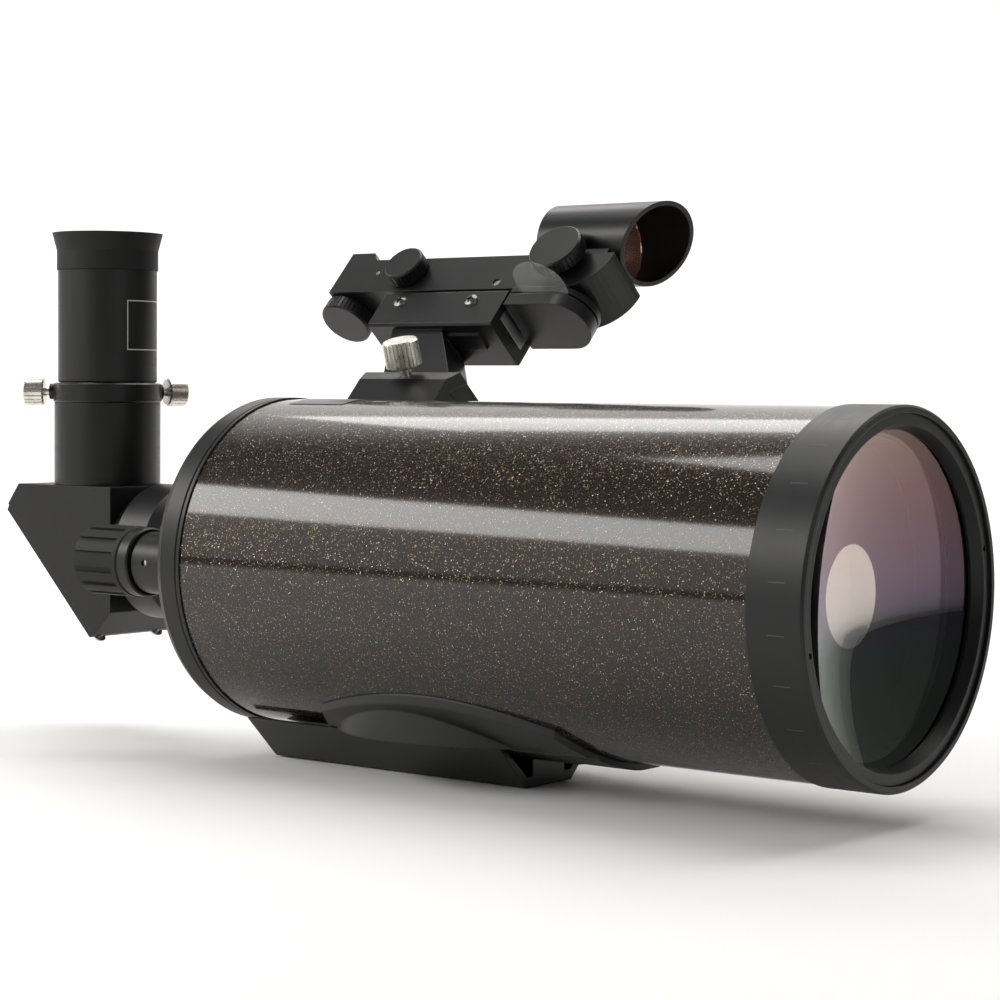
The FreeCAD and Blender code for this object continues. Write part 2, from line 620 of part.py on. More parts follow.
# ---------------------------------------------------------------- visual back and diagonal
def knurled_thumbscrew(name, shaft, shaft_length, head, head_length, ridges):
    """Thumbscrew along local X: plain shaft from 0, then a grooved head."""
    body = turned(name, [
        ("0", "0"), ("0", shaft), (shaft_length, shaft),
        (shaft_length, "%s - 0.5" % head), ("%s + 0.5" % shaft_length, head),
        ("%s + %s - 0.5" % (shaft_length, head_length), head),
        ("%s + %s" % (shaft_length, head_length), "%s - 0.5" % head),
        ("%s + %s" % (shaft_length, head_length), "0")])
    notch = outline(body, name + "_notch_outline", "YZ_Plane", [
        ("0", "%s - 0.45" % head), ("0.4", "%s + 0.4" % head), ("-0.4", "%s + 0.4" % head)])
    notch.setExpression("AttachmentOffset.Base.z", sized(shaft_length))
    groove = body.newObject("PartDesign::Pocket", name + "_notch")
    groove.Profile = notch
    groove.Reversed = True
    bind(groove, Length=head_length)
    ring = body.newObject("PartDesign::PolarPattern", name + "_notches")
    ring.Originals = [groove]
    ring.Axis = (notch, ["N_Axis"])
    ring.Angle = 360
    ring.Occurrences = ridges
    body.Tip = ring
    return body


def visual_back():
    back = turned("visual_body", [
        ("visual_rim_x", "nose_bore"), ("visual_rim_x", "visual_radius - 0.8"),
        ("visual_rim_x + 0.8", "visual_radius"), ("visual_rim_x + 14", "visual_radius"),
        ("visual_rim_x + 18", "visual_neck"), ("cell_back_x - 4", "visual_neck"),
        ("cell_back_x - 4", "visual_radius"), ("cell_back_x - 0.02", "visual_radius"),
        ("cell_back_x - 0.02", "nose_radius - nose_wall"),
        ("nose_tip_x + 2", "nose_radius - nose_wall"), ("nose_tip_x + 2", "nose_bore")])
    place(back, ("0", "0", "axis_height"))
    hole = cylinder("lock_screw_hole", "1.56", "12", ("lock_screw_x", "nose_bore - 2", "axis_height"),
                    direction=(0, 1, 0))
    keep("visual_back", cut("visual_drilled", back, [hole]))
    screw = knurled_thumbscrew("lock_screw_body", "1.5", "5.1", "4.75", "6.8", 20)
    place(screw, ("lock_screw_x", "nose_bore + 2.62", "axis_height"), pointing((0, 1, 0)))
    keep("visual_back_thumbscrew", screw)


def diagonal():
    """Right-angle housing with its nosepiece, mirror, backing pad, cover plate and screws."""
    at_diagonal = ("eyepiece_x", "0", "axis_height")
    nose = turned("nose_body", [
        ("eyepiece_x + house_front", "light_bore - 0.6"),
        ("eyepiece_x + house_front", "shoulder_radius - 0.6"),
        ("eyepiece_x + house_front + 0.6", "shoulder_radius"),
        ("shoulder_front_x", "shoulder_radius"), ("shoulder_front_x", "nose_radius"),
        ("nose_tip_x - 0.6", "nose_radius"), ("nose_tip_x", "nose_radius - 0.6"),
        ("nose_tip_x", "nose_radius - nose_wall")])
    keep("diagonal_nosepiece", place(nose, ("0", "0", "axis_height")))

    house = slab("house_body", "XZ_Plane", [
        ("house_front", "house_top"), ("house_front", "house_chamfer_z"),
        ("house_toe_x", "house_back_sum - house_toe_x"),
        ("house_heel_x", "house_back_sum - house_heel_x"),
        ("house_heel_top_x", "house_top")], "2 * house_half_width")
    place(house, at_diagonal)
    down = cylinder("eye_path", "light_bore", "40", ("eyepiece_x", "0", "axis_height"), (0, 0, 1))
    ahead = cylinder("sky_path", "light_bore", "40", at_diagonal, (1, 0, 0))
    pocket = slab("flat_pocket", "XZ_Plane", [
        ("0", "0 - flat_half_length - 0.15"), ("0", "flat_half_length + 0.15"),
        ("-20", "flat_half_length + 0.15"), ("-20", "0 - flat_half_length - 0.15")],
        "2 * flat_half_width + 0.3")
    slope = FreeCAD.Rotation(AXIS_Y, -45)
    place(pocket, at_diagonal, slope)
    keep("diagonal_housing", cut("house_bored", house, [down, ahead, pocket]))

    flat = slab("flat_body", "XZ_Plane", [
        ("-0.02", "0 - flat_half_length"), ("-0.02", "flat_half_length"),
        ("0 - flat_thickness", "flat_half_length"), ("0 - flat_thickness", "0 - flat_half_length")],
        "2 * flat_half_width")
    keep("diagonal_mirror", place(flat, at_diagonal, slope))
    pad = slab("flat_pad", "XZ_Plane", [
        ("0 - flat_thickness - 0.05", "0 - flat_half_length + 2"),
        ("0 - flat_thickness - 0.05", "flat_half_length - 2"),
        ("house_back_sum / sqrt(2) + 0.05", "flat_half_length - 2"),
        ("house_back_sum / sqrt(2) + 0.05", "0 - flat_half_length + 2")],
        "2 * flat_half_width - 4")
    keep("diagonal_mirror_pad", place(pad, at_diagonal, slope))
    diagonal_cover(at_diagonal, slope)


def diagonal_cover(at_diagonal, slope):
    toe = "(house_back_sum / 2 - house_toe_x) * sqrt(2)"
    heel = "(house_back_sum / 2 - house_heel_x) * sqrt(2)"
    inner = "house_back_sum / sqrt(2) - 0.02"
    plate = slab("cover_body", "XZ_Plane", [
        (inner, "%s + 0.3" % toe), (inner, "%s - 0.3" % heel),
        ("%s - cover_thickness" % inner, "%s - 1" % heel),
        ("%s - cover_thickness" % inner, "%s + 1" % toe)], "2 * house_half_width - 0.6")
    place(plate, at_diagonal, slope)
    screws = []
    holes = []
    for number, (along, across) in enumerate([(25.6, 13), (25.6, -13), (-27.2, 13), (-27.2, -13)]):
        screw = turned("cover_screw_%d" % number, [
            ("0", "0"), ("0", "1.1"), ("cover_thickness + 4", "1.1"), ("cover_thickness + 4", "2.4"),
            ("cover_thickness + 4.9", "2"), ("cover_thickness + 5.4", "0.9"),
            ("cover_thickness + 5.4", "0")])
        hole = cylinder("cover_screw_hole_%d" % number, "1.12", "cover_thickness + 5")
        reach = size("house_back_sum") / math.sqrt(2) + 3.98
        spot = slope.multVec(FreeCAD.Vector(reach, across, along))
        at = ("eyepiece_x + %.4f" % spot.x, "%.4f" % spot.y, "axis_height + %.4f" % spot.z)
        outward = slope.multVec(FreeCAD.Vector(-1, 0, 0))
        place(screw, at, pointing(tuple(outward)))
        place(hole, at, FreeCAD.Rotation(AXIS_Z, outward))
        screws.append(screw)
        holes.append(hole)
    keep("diagonal_cover", cut("cover_drilled", plate, holes))
    housing = nodes["diagonal_housing"]
    housing.Label = "house_undrilled"
    keep("diagonal_housing", cut("house_drilled", housing, holes))
    group = doc.addObject("Part::Compound", "cover_screw_group")
    group.Links = screws
    keep("diagonal_cover_screws", group)


# ---------------------------------------------------------------- eyepiece
UPRIGHT = pointing((0, 0, 1))
AT_EYEPIECE = ("eyepiece_x", "0", "axis_height")
HOLDER_SCREWS = {"left": 218.3, "right": 68.3}


def eyepiece_holder():
    holder = turned("holder_body", [
        ("house_top + 0.02", "nose_bore"), ("house_top + 0.02", "holder_radius"),
        ("collar_foot - 0.02", "holder_radius"), ("collar_foot - 0.02", "collar_spigot - 0.02"),
        ("collar_top", "collar_spigot - 0.02"), ("collar_top", "nose_bore")])
    place(holder, AT_EYEPIECE, UPRIGHT)
    collar = turned("collar_body", [
        ("collar_foot", "collar_spigot"), ("collar_foot", "collar_radius - 0.5"),
        ("collar_foot + 0.5", "collar_radius"), ("collar_top - 0.5", "collar_radius"),
        ("collar_top", "collar_radius - 0.5"), ("collar_top", "collar_spigot")])
    place(collar, AT_EYEPIECE, UPRIGHT)
    bosses = [collar]
    holes = []
    for side, angle in HOLDER_SCREWS.items():
        direction = (math.cos(math.radians(angle)), math.sin(math.radians(angle)), 0)
        at = ("eyepiece_x", "0", "axis_height + holder_screw_height")
        bosses.append(cylinder("boss_" + side, "2.7", "collar_radius + 1.3", at, direction))
        holes.append(cylinder("boss_hole_" + side, "1.56", "collar_radius + 4", at, direction))
    core = cylinder("collar_core", "collar_spigot", "12",
                    ("eyepiece_x", "0", "axis_height + collar_foot - 2"), (0, 0, 1))
    keep("holder_clamp_ring", cut("collar_drilled", joined("collar_bossed", bosses), [core] + holes))
    keep("eyepiece_holder", cut("holder_drilled", holder, holes))


def holder_thumbscrews():
    for side, angle in HOLDER_SCREWS.items():
        direction = (math.cos(math.radians(angle)), math.sin(math.radians(angle)), 0)
        tip = 17.0
        screw = knurled_thumbscrew("holder_screw_" + side, "1.5", "4.2", "4.75", "6.8", 20)
        at = ("eyepiece_x + %.4f" % (tip * direction[0]), "%.4f" % (tip * direction[1]),
              "axis_height + holder_screw_height")
        place(screw, at, pointing(direction))
        keep("holder_thumbscrew_" + side, screw)


def eyepiece():
    barrel = turned("barrel_body", [
        ("barrel_foot", "nose_radius - barrel_wall"), ("barrel_foot", "nose_radius - 0.5"),
        ("barrel_foot + 0.5", "nose_radius"), ("collar_top + 0.1", "nose_radius"),
        ("collar_top + 0.1", "nose_radius - barrel_wall")])
    keep("eyepiece_barrel", place(barrel, AT_EYEPIECE, UPRIGHT))
    stop = turned("stop_body", [
        ("barrel_foot + 14", "10.2"), ("barrel_foot + 14", "nose_radius - barrel_wall - 0.02"),
        ("barrel_foot + 15.2", "nose_radius - barrel_wall - 0.02"), ("barrel_foot + 15.2", "10.2")])
    keep("eyepiece_field_stop", place(stop, AT_EYEPIECE, UPRIGHT))
    field = turned("field_lens_body", [
        ("barrel_foot + 19", "0"), ("barrel_foot + 19.4", "7"),
        ("barrel_foot + 20.6", "nose_radius - barrel_wall - 0.02"),
        ("barrel_foot + 23", "nose_radius - barrel_wall - 0.02"),
        ("barrel_foot + 25.2", "7"), ("barrel_foot + 26", "0")])
    keep("eyepiece_field_lens", place(field, AT_EYEPIECE, UPRIGHT))
    body = turned("eyepiece_body_turned", [
        ("collar_top + 0.12", "nose_radius - barrel_wall"),
        ("collar_top + 0.12", "body_radius - 0.4"), ("collar_top + 0.5", "body_radius"),
        ("body_top - 0.02", "body_radius"), ("body_top - 0.02", "cup_band_radius - cup_wall - 0.05"),
        ("cup_waist_height - 2.6", "cup_band_radius - cup_wall - 0.05"),
        ("cup_waist_height - 2.6", "eye_lens_radius"),
        ("body_top - 5", "eye_lens_radius"), ("body_top - 5", "nose_radius - barrel_wall")])
    keep("eyepiece_body", place(body, AT_EYEPIECE, UPRIGHT))
    lens = turned("eye_lens_body", [
        ("cup_waist_height - 9", "0"), ("cup_waist_height - 9", "eye_lens_radius - 0.02"),
        ("cup_waist_height - 5", "eye_lens_radius - 0.02"),
        ("cup_waist_height - 4.2", "7"), ("cup_waist_height - 3.8", "0")])
    keep("eyepiece_eye_lens", place(lens, AT_EYEPIECE, UPRIGHT))
    cup = turned("eyecup_body", [
        ("body_top", "cup_band_radius - cup_wall"), ("body_top", "cup_band_radius"),
        ("cup_waist_height", "cup_band_radius"),
        ("cup_rim_height - 1.2", "cup_rim_radius - 0.35"), ("cup_rim_height", "cup_rim_radius"),
        ("cup_rim_height", "cup_rim_radius - 1.5"),
        ("cup_waist_height", "cup_band_radius - cup_wall")])
    keep("eyecup", place(cup, AT_EYEPIECE, UPRIGHT))


# ---------------------------------------------------------------- dovetail bar and saddle
def dovetail_bar():
    bar = slab("bar_body", "YZ_Plane", [
        ("0 - bar_foot_half", "0"), ("bar_foot_half", "0"), ("bar_wing_half", "bar_wing_height"),
        ("bar_wing_half - bar_wall", "bar_wing_height"),
        ("bar_foot_half - bar_wall + 2.2", "bar_floor"), ("bar_rib_half", "bar_floor"),
        ("bar_rib_half", "bar_rib_height"), ("0 - bar_rib_half", "bar_rib_height"),
        ("0 - bar_rib_half", "bar_floor"), ("0 - bar_foot_half + bar_wall - 2.2", "bar_floor"),
        ("0 - bar_wing_half + bar_wall", "bar_wing_height"),
        ("0 - bar_wing_half", "bar_wing_height")], "2 * bar_half_length")
    tools = [cylinder("tripod_hole", "tripod_thread", "bar_rib_height + 2",
                      ("tripod_x", "0", "-1"), (0, 0, 1))]
    for number, side in enumerate((-1, 1)):
        at = "%d * saddle_screw_x" % side
        tools.append(cylinder("bar_screw_hole_%d" % number, "2.02", "12", (at, "0", "-1"), (0, 0, 1)))
        tools.append(cylinder("bar_screw_seat_%d" % number, "4", "3.2", (at, "0", "0"), (0, 0, 1)))
    keep("dovetail_bar", cut("bar_drilled", bar, tools))


def saddle_screws():
    screws = []
    for number, side in enumerate((-1, 1)):
        screw = turned("saddle_screw_%d" % number, [
            ("0.6", "0"), ("0.6", "3.4"), ("1", "3.8"), ("3.18", "3.8"), ("3.18", "2"),
            ("9.2", "2"), ("9.2", "0")])
        place(screw, ("%d * saddle_screw_x" % side, "0", "0"), UPRIGHT)
        socket = cylinder("saddle_socket_%d" % number, "1.7", "2",
                          ("%d * saddle_screw_x" % side, "0", "0"), (0, 0, 1))
        screws.append(cut("saddle_screw_cut_%d" % number, screw, [socket]))
    group = doc.addObject("Part::Compound", "saddle_screw_group")
    group.Links = screws
    keep("saddle_screws", group)


def elliptic_post(name, centre, major, minor, crosswise=False):
    """Upright elliptic cylinder standing on the plane of the bar's underside."""
    ellipse = doc.addObject("Part::Ellipse", name + "_outline")
    bind(ellipse, MajorRadius=major, MinorRadius=minor)
    place(ellipse, (centre, "0", "0"), FreeCAD.Rotation(AXIS_Z, 90 if crosswise else 0))
    post = doc.addObject("Part::Extrusion", name)
    post.Base = ellipse
    post.DirMode = "Custom"
    post.Dir = AXIS_Z
    post.LengthFwd = 40
    post.Solid = True
    return post


def saddle():
    """Moulded saddle: an oval wall on the bar with a thin skirt that follows the tube."""
    wall = elliptic_post("saddle_wall", "saddle_x", "saddle_half_length", "saddle_half_width")
    skirt_sides = elliptic_post("skirt_sides", "skirt_x", "skirt_half_length", "skirt_half_width")
    skirt_ends = elliptic_post("skirt_ends", "skirt_x", "skirt_end_width", "skirt_end_length", crosswise=True)
    outer = cylinder("skirt_outside", "tube_radius + skirt_thickness", "300",
                     ("-150", "0", "axis_height"))
    skirt = common("skirt", [skirt_sides, skirt_ends, outer])
    inner = cylinder("saddle_bore", "tube_radius + saddle_gap", "300", ("-150", "0", "axis_height"))
    web = common("saddle_web", [
        cylinder("web_outside", "tube_radius + web_thickness", "300", ("-150", "0", "axis_height")),
        box("web_width", ("300", "2 * web_half_width", "40"), ("-150", "0 - web_half_width", "0"))])
    # room for the two wings of the bar on each side of the keel, and for its central rib
    over_wings = cut("saddle_over_wings", joined("saddle_wing_boxes", [
        box("under_left", ("300", "60", "saddle_underside"), ("-150", "bar_rib_half - 0.3", "0")),
        box("under_right", ("300", "60", "saddle_underside"),
            ("-150", "0 - bar_rib_half + 0.3 - 60", "0"))]), [web])
    over_rib = box("under_keel", ("300", "2 * bar_rib_half", "bar_rib_height + 0.02"),
                   ("-150", "0 - bar_rib_half", "0"))
    lower = cut("saddle_seated", wall, [over_wings, over_rib])
    whole = joined("saddle_joined", [lower, cut("skirt_trimmed", skirt, [over_wings, over_rib])])
    keep("saddle", cut("saddle_bored", whole, [inner] + screw_bores()))


def screw_bores():
    return [cylinder("saddle_screw_bore_%d" % number, "2.02", "20",
                     ("%d * saddle_screw_x" % side, "0", "0"), (0, 0, 1))
            for number, side in enumerate((-1, 1))]


# ---------------------------------------------------------------- red-dot sight
def finder_shoe():
    lean = "(shoe_top - slot_floor) * tan(slot_lean * 1deg)"
    shoe = slab("shoe_body", "YZ_Plane", [
        ("0 - shoe_half_width", "40"), ("shoe_half_width", "40"),
        ("shoe_half_width", "shoe_wall_height"), ("shoe_top_half", "shoe_top"),
        ("slot_half_width - %s" % lean, "shoe_top"), ("slot_half_width", "slot_floor"),
        ("0 - slot_half_width", "slot_floor"), ("%s - slot_half_width" % lean, "shoe_top"),
        ("0 - shoe_top_half", "shoe_top"), ("0 - shoe_half_width", "shoe_wall_height")],
        "shoe_front_x - shoe_back_x")
    place(shoe, ("(shoe_front_x + shoe_back_x) / 2", "0", "0"))
    tube = cylinder("shoe_seat", "tube_radius + 0.05", "120", ("-90", "0", "0"))
    tools = [tube, shoe_screw_bore()]
    for number, x_sign in enumerate((-1, 1)):
        corner = "shoe_back_x" if x_sign < 0 else "shoe_front_x"
        tools.append(box("shoe_screw_hole_%d" % number, ("3", "3", "10"),
                         ("%s - %d * 10 - 1.5" % (corner, x_sign), "-1.5", "50")))
    for number, (corner, y_sign) in enumerate([("shoe_back_x", -1), ("shoe_back_x", 1)]):
        relief = box("shoe_corner_%d" % number, ("8", "8", "60"), (corner, "0", "30"))
        relief.Placement.Rotation = FreeCAD.Rotation(AXIS_Z, 45)
        bind(relief, **{"Placement.Base.x": "%s - 2.6" % corner,
                        "Placement.Base.y": "%d * shoe_half_width - 5.657" % y_sign})
        tools.append(relief)
    keep_sight("finder_shoe", cut("shoe_cut", shoe, tools))
    finder_shoe_screws()


def finder_shoe_screws():
    screws = []
    for number, at in enumerate(("shoe_back_x + 10", "shoe_front_x - 10")):
        screw = turned("shoe_screw_%d" % number, [
            ("tube_radius + 0.2", "0"), ("tube_radius + 0.2", "1.45"), ("slot_floor - 1.6", "1.45"),
            ("slot_floor - 0.1", "1.45"), ("slot_floor - 0.1", "0")])
        screws.append(place(screw, (at, "0", "0"), UPRIGHT))
    group = doc.addObject("Part::Compound", "shoe_screw_group")
    group.Links = screws
    keep_sight("finder_shoe_screws", group)


def shoe_screw_axis():
    """Outward direction of the shoe's thumbscrew: square to the outer slope of the near rail."""
    lean = math.radians(size("slot_lean"))
    return (0, -math.cos(lean), math.sin(lean))


def shoe_screw_spot(outward):
    """Point on the thumbscrew's axis, a distance out from the middle of the rail's slope."""
    axis = shoe_screw_axis()
    middle_y = -(size("shoe_half_width") + size("shoe_top_half")) / 2
    middle_z = (size("shoe_wall_height") + size("shoe_top")) / 2
    middle_x = size("shoe_back_x") + 20
    return (middle_x, middle_y + outward * axis[1], middle_z + outward * axis[2])


def shoe_screw_bore():
    at = ["%.4f" % value for value in shoe_screw_spot(-8.0)]
    return cylinder("shoe_screw_bore", "2.06", "16", at, shoe_screw_axis())


def shoe_thumbscrew():
    screw = knurled_thumbscrew("shoe_screw_body", "2", "7.3", "5.85", "8.8", 26)
    at = ["%.4f" % value for value in shoe_screw_spot(-4.3)]
    place(screw, at, pointing(shoe_screw_axis()))
    keep_sight("shoe_thumbscrew", screw)


def finder_bracket():
    """Dovetail foot, leaning neck and the channel that clamps the sight's rail."""
    half = "(slot_half_width - foot_gap - 0.1)"
    lean = "(shoe_top - slot_floor - 0.4) * tan(slot_lean * 1deg)"
    foot = slab("foot_body", "YZ_Plane", [
        ("0 - %s" % half, "slot_floor + 0.2"), (half, "slot_floor + 0.2"),
        ("%s - %s" % (half, lean), "shoe_top - 0.2"), ("%s - %s" % (lean, half), "shoe_top - 0.2")],
        "shoe_front_x - shoe_back_x")
    place(foot, ("(shoe_front_x + shoe_back_x) / 2", "0", "0"))
    neck = slab("neck_body", "XZ_Plane", [
        ("shoe_back_x + 1", "shoe_top - 1"), ("clamp_back_x + 9.5", "clamp_foot + 0.5"),
        ("clamp_back_x + 31", "clamp_foot + 0.5"), ("shoe_front_x - 8", "shoe_top - 1")],
        "2 * neck_half_width")
    clamp = slab("clamp_body", "YZ_Plane", [
        ("0 - clamp_half_width + 0.8", "clamp_foot"), ("clamp_half_width - 0.8", "clamp_foot"),
        ("clamp_half_width", "clamp_foot + 0.8"), ("clamp_half_width", "clamp_top"),
        ("clamp_half_width - cheek", "clamp_top"), ("clamp_half_width - cheek", "clamp_floor"),
        ("0 - clamp_half_width + cheek", "clamp_floor"), ("0 - clamp_half_width + cheek", "clamp_top"),
        ("0 - clamp_half_width", "clamp_top"), ("0 - clamp_half_width", "clamp_foot + 0.8")],
        "clamp_front_x - clamp_back_x")
    place(clamp, ("(clamp_front_x + clamp_back_x) / 2", "0", "0"))
    boss = box("clamp_boss", ("28", "7", "2"), ("clamp_back_x + 18", "-6", "clamp_foot - 1"))
    holes = [cylinder("cheek_hole_%d" % number, "1.52", "30", (at, "-15", "clamp_screw_height"), (0, 1, 0))
             for number, at in enumerate(("clamp_screw_back_x", "clamp_screw_front_x"))]
    keep_sight("finder_bracket", cut("bracket_drilled", joined("bracket_joined", [foot, neck, clamp, boss]), holes))
    clamp_screws()


def clamp_screws():
    """Two cross-head screws through the near cheek into the rail."""
    screws = []
    for number, at in enumerate(("clamp_screw_back_x", "clamp_screw_front_x")):
        screw = turned("clamp_screw_%d" % number, [
            ("0", "0"), ("0", "1.5"), ("7.2", "1.5"), ("7.2", "2.6"), ("7.9", "2.3"), ("8.5", "1.2"), ("8.5", "0")])
        place(screw, (at, "0 - clamp_half_width + 7.15", "clamp_screw_height"), pointing((0, -1, 0)))
        slots = [box("clamp_slot_%d_%d" % (number, turn), lengths, (at, "0", "0"))
                 for turn, lengths in enumerate([("3", "1.2", "0.6"), ("0.6", "1.2", "3")])]
        for slot, (along, up) in zip(slots, ((1.5, 0.3), (0.3, 1.5))):
            place(slot, ("%s - %.1f" % (at, along), "0 - clamp_half_width - 1.4",
                         "clamp_screw_height - %.1f" % up))
        screws.append(cut("clamp_screw_cut_%d" % number, screw, slots))
    group = doc.addObject("Part::Compound", "clamp_screw_group")
    group.Links = screws
    keep_sight("bracket_clamp_screws", group)


def sight_mount():
    """Rail clamped in the bracket, and the plate that turns on it and carries the tilt pin."""
    rail = box("rail_block", ("clamp_front_x - clamp_back_x", "2 * (clamp_half_width - cheek) - 0.1",
                              "107 - clamp_floor - 0.05"),
               ("clamp_back_x", "0 - clamp_half_width + cheek + 0.05", "clamp_floor + 0.05"))
    pivot_hole = cylinder("pivot_hole", "2 + pin_fit", "8", ("tilt_x", "0", "101"), (0, 0, 1))
    holes = [cylinder("rail_hole_%d" % number, "1.52", "30", (at, "-15", "clamp_screw_height"), (0, 1, 0))
             for number, at in enumerate(("clamp_screw_back_x", "clamp_screw_front_x"))]
    keep_sight("sight_rail", cut("rail_drilled", rail, [pivot_hole] + holes))

    plate = box("pivot_plate_block", ("16", "12", "1.4"), ("tilt_x - 8", "-6", "107.2"))
    post = cylinder("pivot_post", "2", "5.7", ("tilt_x", "0", "101.6"), (0, 0, 1))
    ear = box("pivot_ear", ("5", "7", "7.2"), ("tilt_x - 2.5", "-3.5", "108.4"))
    pin_hole = cylinder("pivot_pin_hole", "pin_radius", "20", ("tilt_x", "-10", "tilt_height"), (0, 1, 0))
    keep_sight("sight_pivot_plate", cut("pivot_drilled", joined("pivot_joined", [plate, post, ear]), [pin_hole]))
    pin = cylinder("tilt_pin_bar", "pin_radius", "2 * sight_half_width - 1",
                   ("tilt_x", "0 - sight_half_width + 0.5", "tilt_height"), (0, 1, 0))
    keep_sight("sight_tilt_pin", pin)


def sight_housing():
    """Hollow bar with the lamp block at the back, the rounded chin and the hood's cradle in front."""
    corners = [
        ("bar_back_x", "bar_under"), ("bar_back_x", "block_top"), ("block_front_x", "block_top"),
        ("block_toe_x", "bar_top"), ("chin_x + chin_radius - 0.2", "bar_top")]
    steps = 12
    for step in range(steps + 1):
        turn = 90.0 * step / steps
        corners.append(("chin_x + chin_radius * cos(%.1fdeg)" % turn,
                        "bar_under + chin_radius - chin_radius * sin(%.1fdeg)" % turn))
    bar = slab("sight_bar", "XZ_Plane", corners, "2 * sight_half_width")
    cradle = box("hood_cradle", ("28", "18", "6"), ("hood_back_x + 2", "-9", "bar_top - 0.5"))
    hollow = box("sight_hollow", ("block_front_x * (-1) - 3", "2 * (sight_half_width - sight_wall)",
                                  "bar_top - bar_under - 3.2"),
                 ("block_front_x + 2", "0 - sight_half_width + sight_wall", "bar_under + 1.6"))
    window = box("pivot_window", ("10", "10", "6"), ("tilt_x - 5", "-5", "bar_under - 2"))
    tools = [
        hollow, window,
        cylinder("hood_seat", "hood_radius + 0.02", "60", ("hood_back_x - 5", "0", "hood_axis")),
        cylinder("pin_bore", "pin_radius + pin_fit", "30", ("tilt_x", "-15", "tilt_height"), (0, 1, 0)),
        cylinder("lamp_bore", "1.55", "9", ("block_toe_x - 6", "0", "block_top - 1.9")),
        cylinder("bright_bore", "2.06", "8", ("bright_x", "0 - sight_half_width - 2", "bright_height"), (0, 1, 0)),
        cylinder("azimuth_bore", "2.06", "8", ("azimuth_x", "0 - sight_half_width - 2", "azimuth_height"), (0, 1, 0)),
        cylinder("altitude_bore", "2.06", "8", ("altitude_x", "0", "bar_under - 2"), (0, 0, 1)),
        cylinder("side_pin_bore", "0.8", "3", ("-81.4", "0 - sight_half_width - 1", "118.8"), (0, 1, 0)),
    ]
    keep_sight("sight_housing", cut("housing_cut", joined("housing_joined", [bar, cradle]), tools))
    side_pin = cylinder("side_pin", "0.79", "1.9", ("-81.4", "0 - sight_half_width - 0.1", "118.8"), (0, 1, 0))
    keep_sight("sight_side_pin", side_pin)


def drawer_outline(name, height, foot):
    """Flat block with a half-round front end, as wide as the battery drawer."""
    straight = box(name + "_straight", ("chin_x - drawer_back_x", "2 * drawer_half_width", height),
                   ("drawer_back_x", "0 - drawer_half_width", foot))
    end = cylinder(name + "_end", "drawer_half_width", height, ("chin_x", "0", foot), (0, 0, 1))
    return joined(name, [straight, end])


def battery():
    """Plate under the chin, the drawer that slides below it, the coin cell and its pull film."""
    seat = drawer_outline("battery_seat", "bar_under - seat_foot - 0.01", "seat_foot")
    keep_sight("battery_seat_plate", seat)
    drawer = drawer_outline("drawer_block", "drawer_top - drawer_foot", "drawer_foot")
    pocket = cylinder("drawer_pocket", "cell_radius + 0.1", "4", ("chin_x - 1", "0", "drawer_top - cell_thickness - 0.1"),
                      (0, 0, 1))
    keep_sight("battery_drawer", cut("drawer_cut", drawer, [pocket]))
    coin = cylinder("coin", "cell_radius", "cell_thickness", ("chin_x - 1", "0", "drawer_top - cell_thickness - 0.05"),
                    (0, 0, 1))
    keep_sight("coin_cell", coin)
    film = cylinder("film_disc", "film_radius", "film_thickness",
                    ("film_x", "0 - film_out", "(drawer_top + seat_foot - film_thickness) / 2"), (0, 0, 1))
    keep_sight("battery_pull_film", film)


def hood():
    """Hood with a mouth raked forward at the top, and the coated lens inside it."""
    tube = cylinder("hood_outside", "hood_radius", "60", ("hood_back_x", "0", "hood_axis"))
    bore = cylinder("hood_inside", "hood_radius - hood_wall", "70", ("hood_back_x - 5", "0", "hood_axis"))
    beyond = box("hood_beyond", ("60", "60", "80"), ("0", "0", "0"))
    rake = FreeCAD.Rotation(AXIS_Y, size("hood_rake"))
    corner = rake.multVec(FreeCAD.Vector(0, -30, -40))
    place(beyond, ("hood_front_x + %.4f" % corner.x, "%.4f" % corner.y, "hood_axis + %.4f" % corner.z), rake)
    keep_sight("sight_hood", cut("hood_cut", tube, [bore, beyond]))
    glass = cylinder("window_blank", "hood_radius - hood_wall - 0.02", "30", ("window_x - 15", "0", "hood_axis"))
    sheet_block = box("window_sheet", ("window_thickness", "60", "80"), ("0", "0", "0"))
    lean = FreeCAD.Rotation(AXIS_Y, -size("window_rake"))
    corner = lean.multVec(FreeCAD.Vector(0, -30, -40))
    place(sheet_block, ("window_x + %.4f" % corner.x, "%.4f" % corner.y, "hood_axis + %.4f" % corner.z), lean)
    keep_sight("sight_lens", common("window", [glass, sheet_block]))


def sight_knob(name, radius, near, far, ridges):
    """Flat knob along local X: stub shaft from -3, disc from near to far with a notched edge."""
    body = turned(name, [
        ("-3", "0"), ("-3", "2"), (near, "2"), (near, "%s - 0.4" % radius),
        ("%s + 0.4" % near, radius), ("%s - 0.6" % far, radius), (far, "%s - 0.6" % radius), (far, "0")])
    notch = outline(body, name + "_notch_outline", "YZ_Plane", [
        ("0", "%s - 0.3" % radius), ("0.45", "%s + 0.3" % radius), ("-0.45", "%s + 0.3" % radius)])
    notch.setExpression("AttachmentOffset.Base.z", sized(near))
    groove = body.newObject("PartDesign::Pocket", name + "_notch")
    groove.Profile = notch
    groove.Reversed = True
    bind(groove, Length="%s - %s" % (far, near))
    ring = body.newObject("PartDesign::PolarPattern", name + "_notches")
    ring.Originals = [groove]
    ring.Axis = (notch, ["N_Axis"])
    ring.Angle = 360
    ring.Occurrences = ridges
    body.Tip = ring
    return body


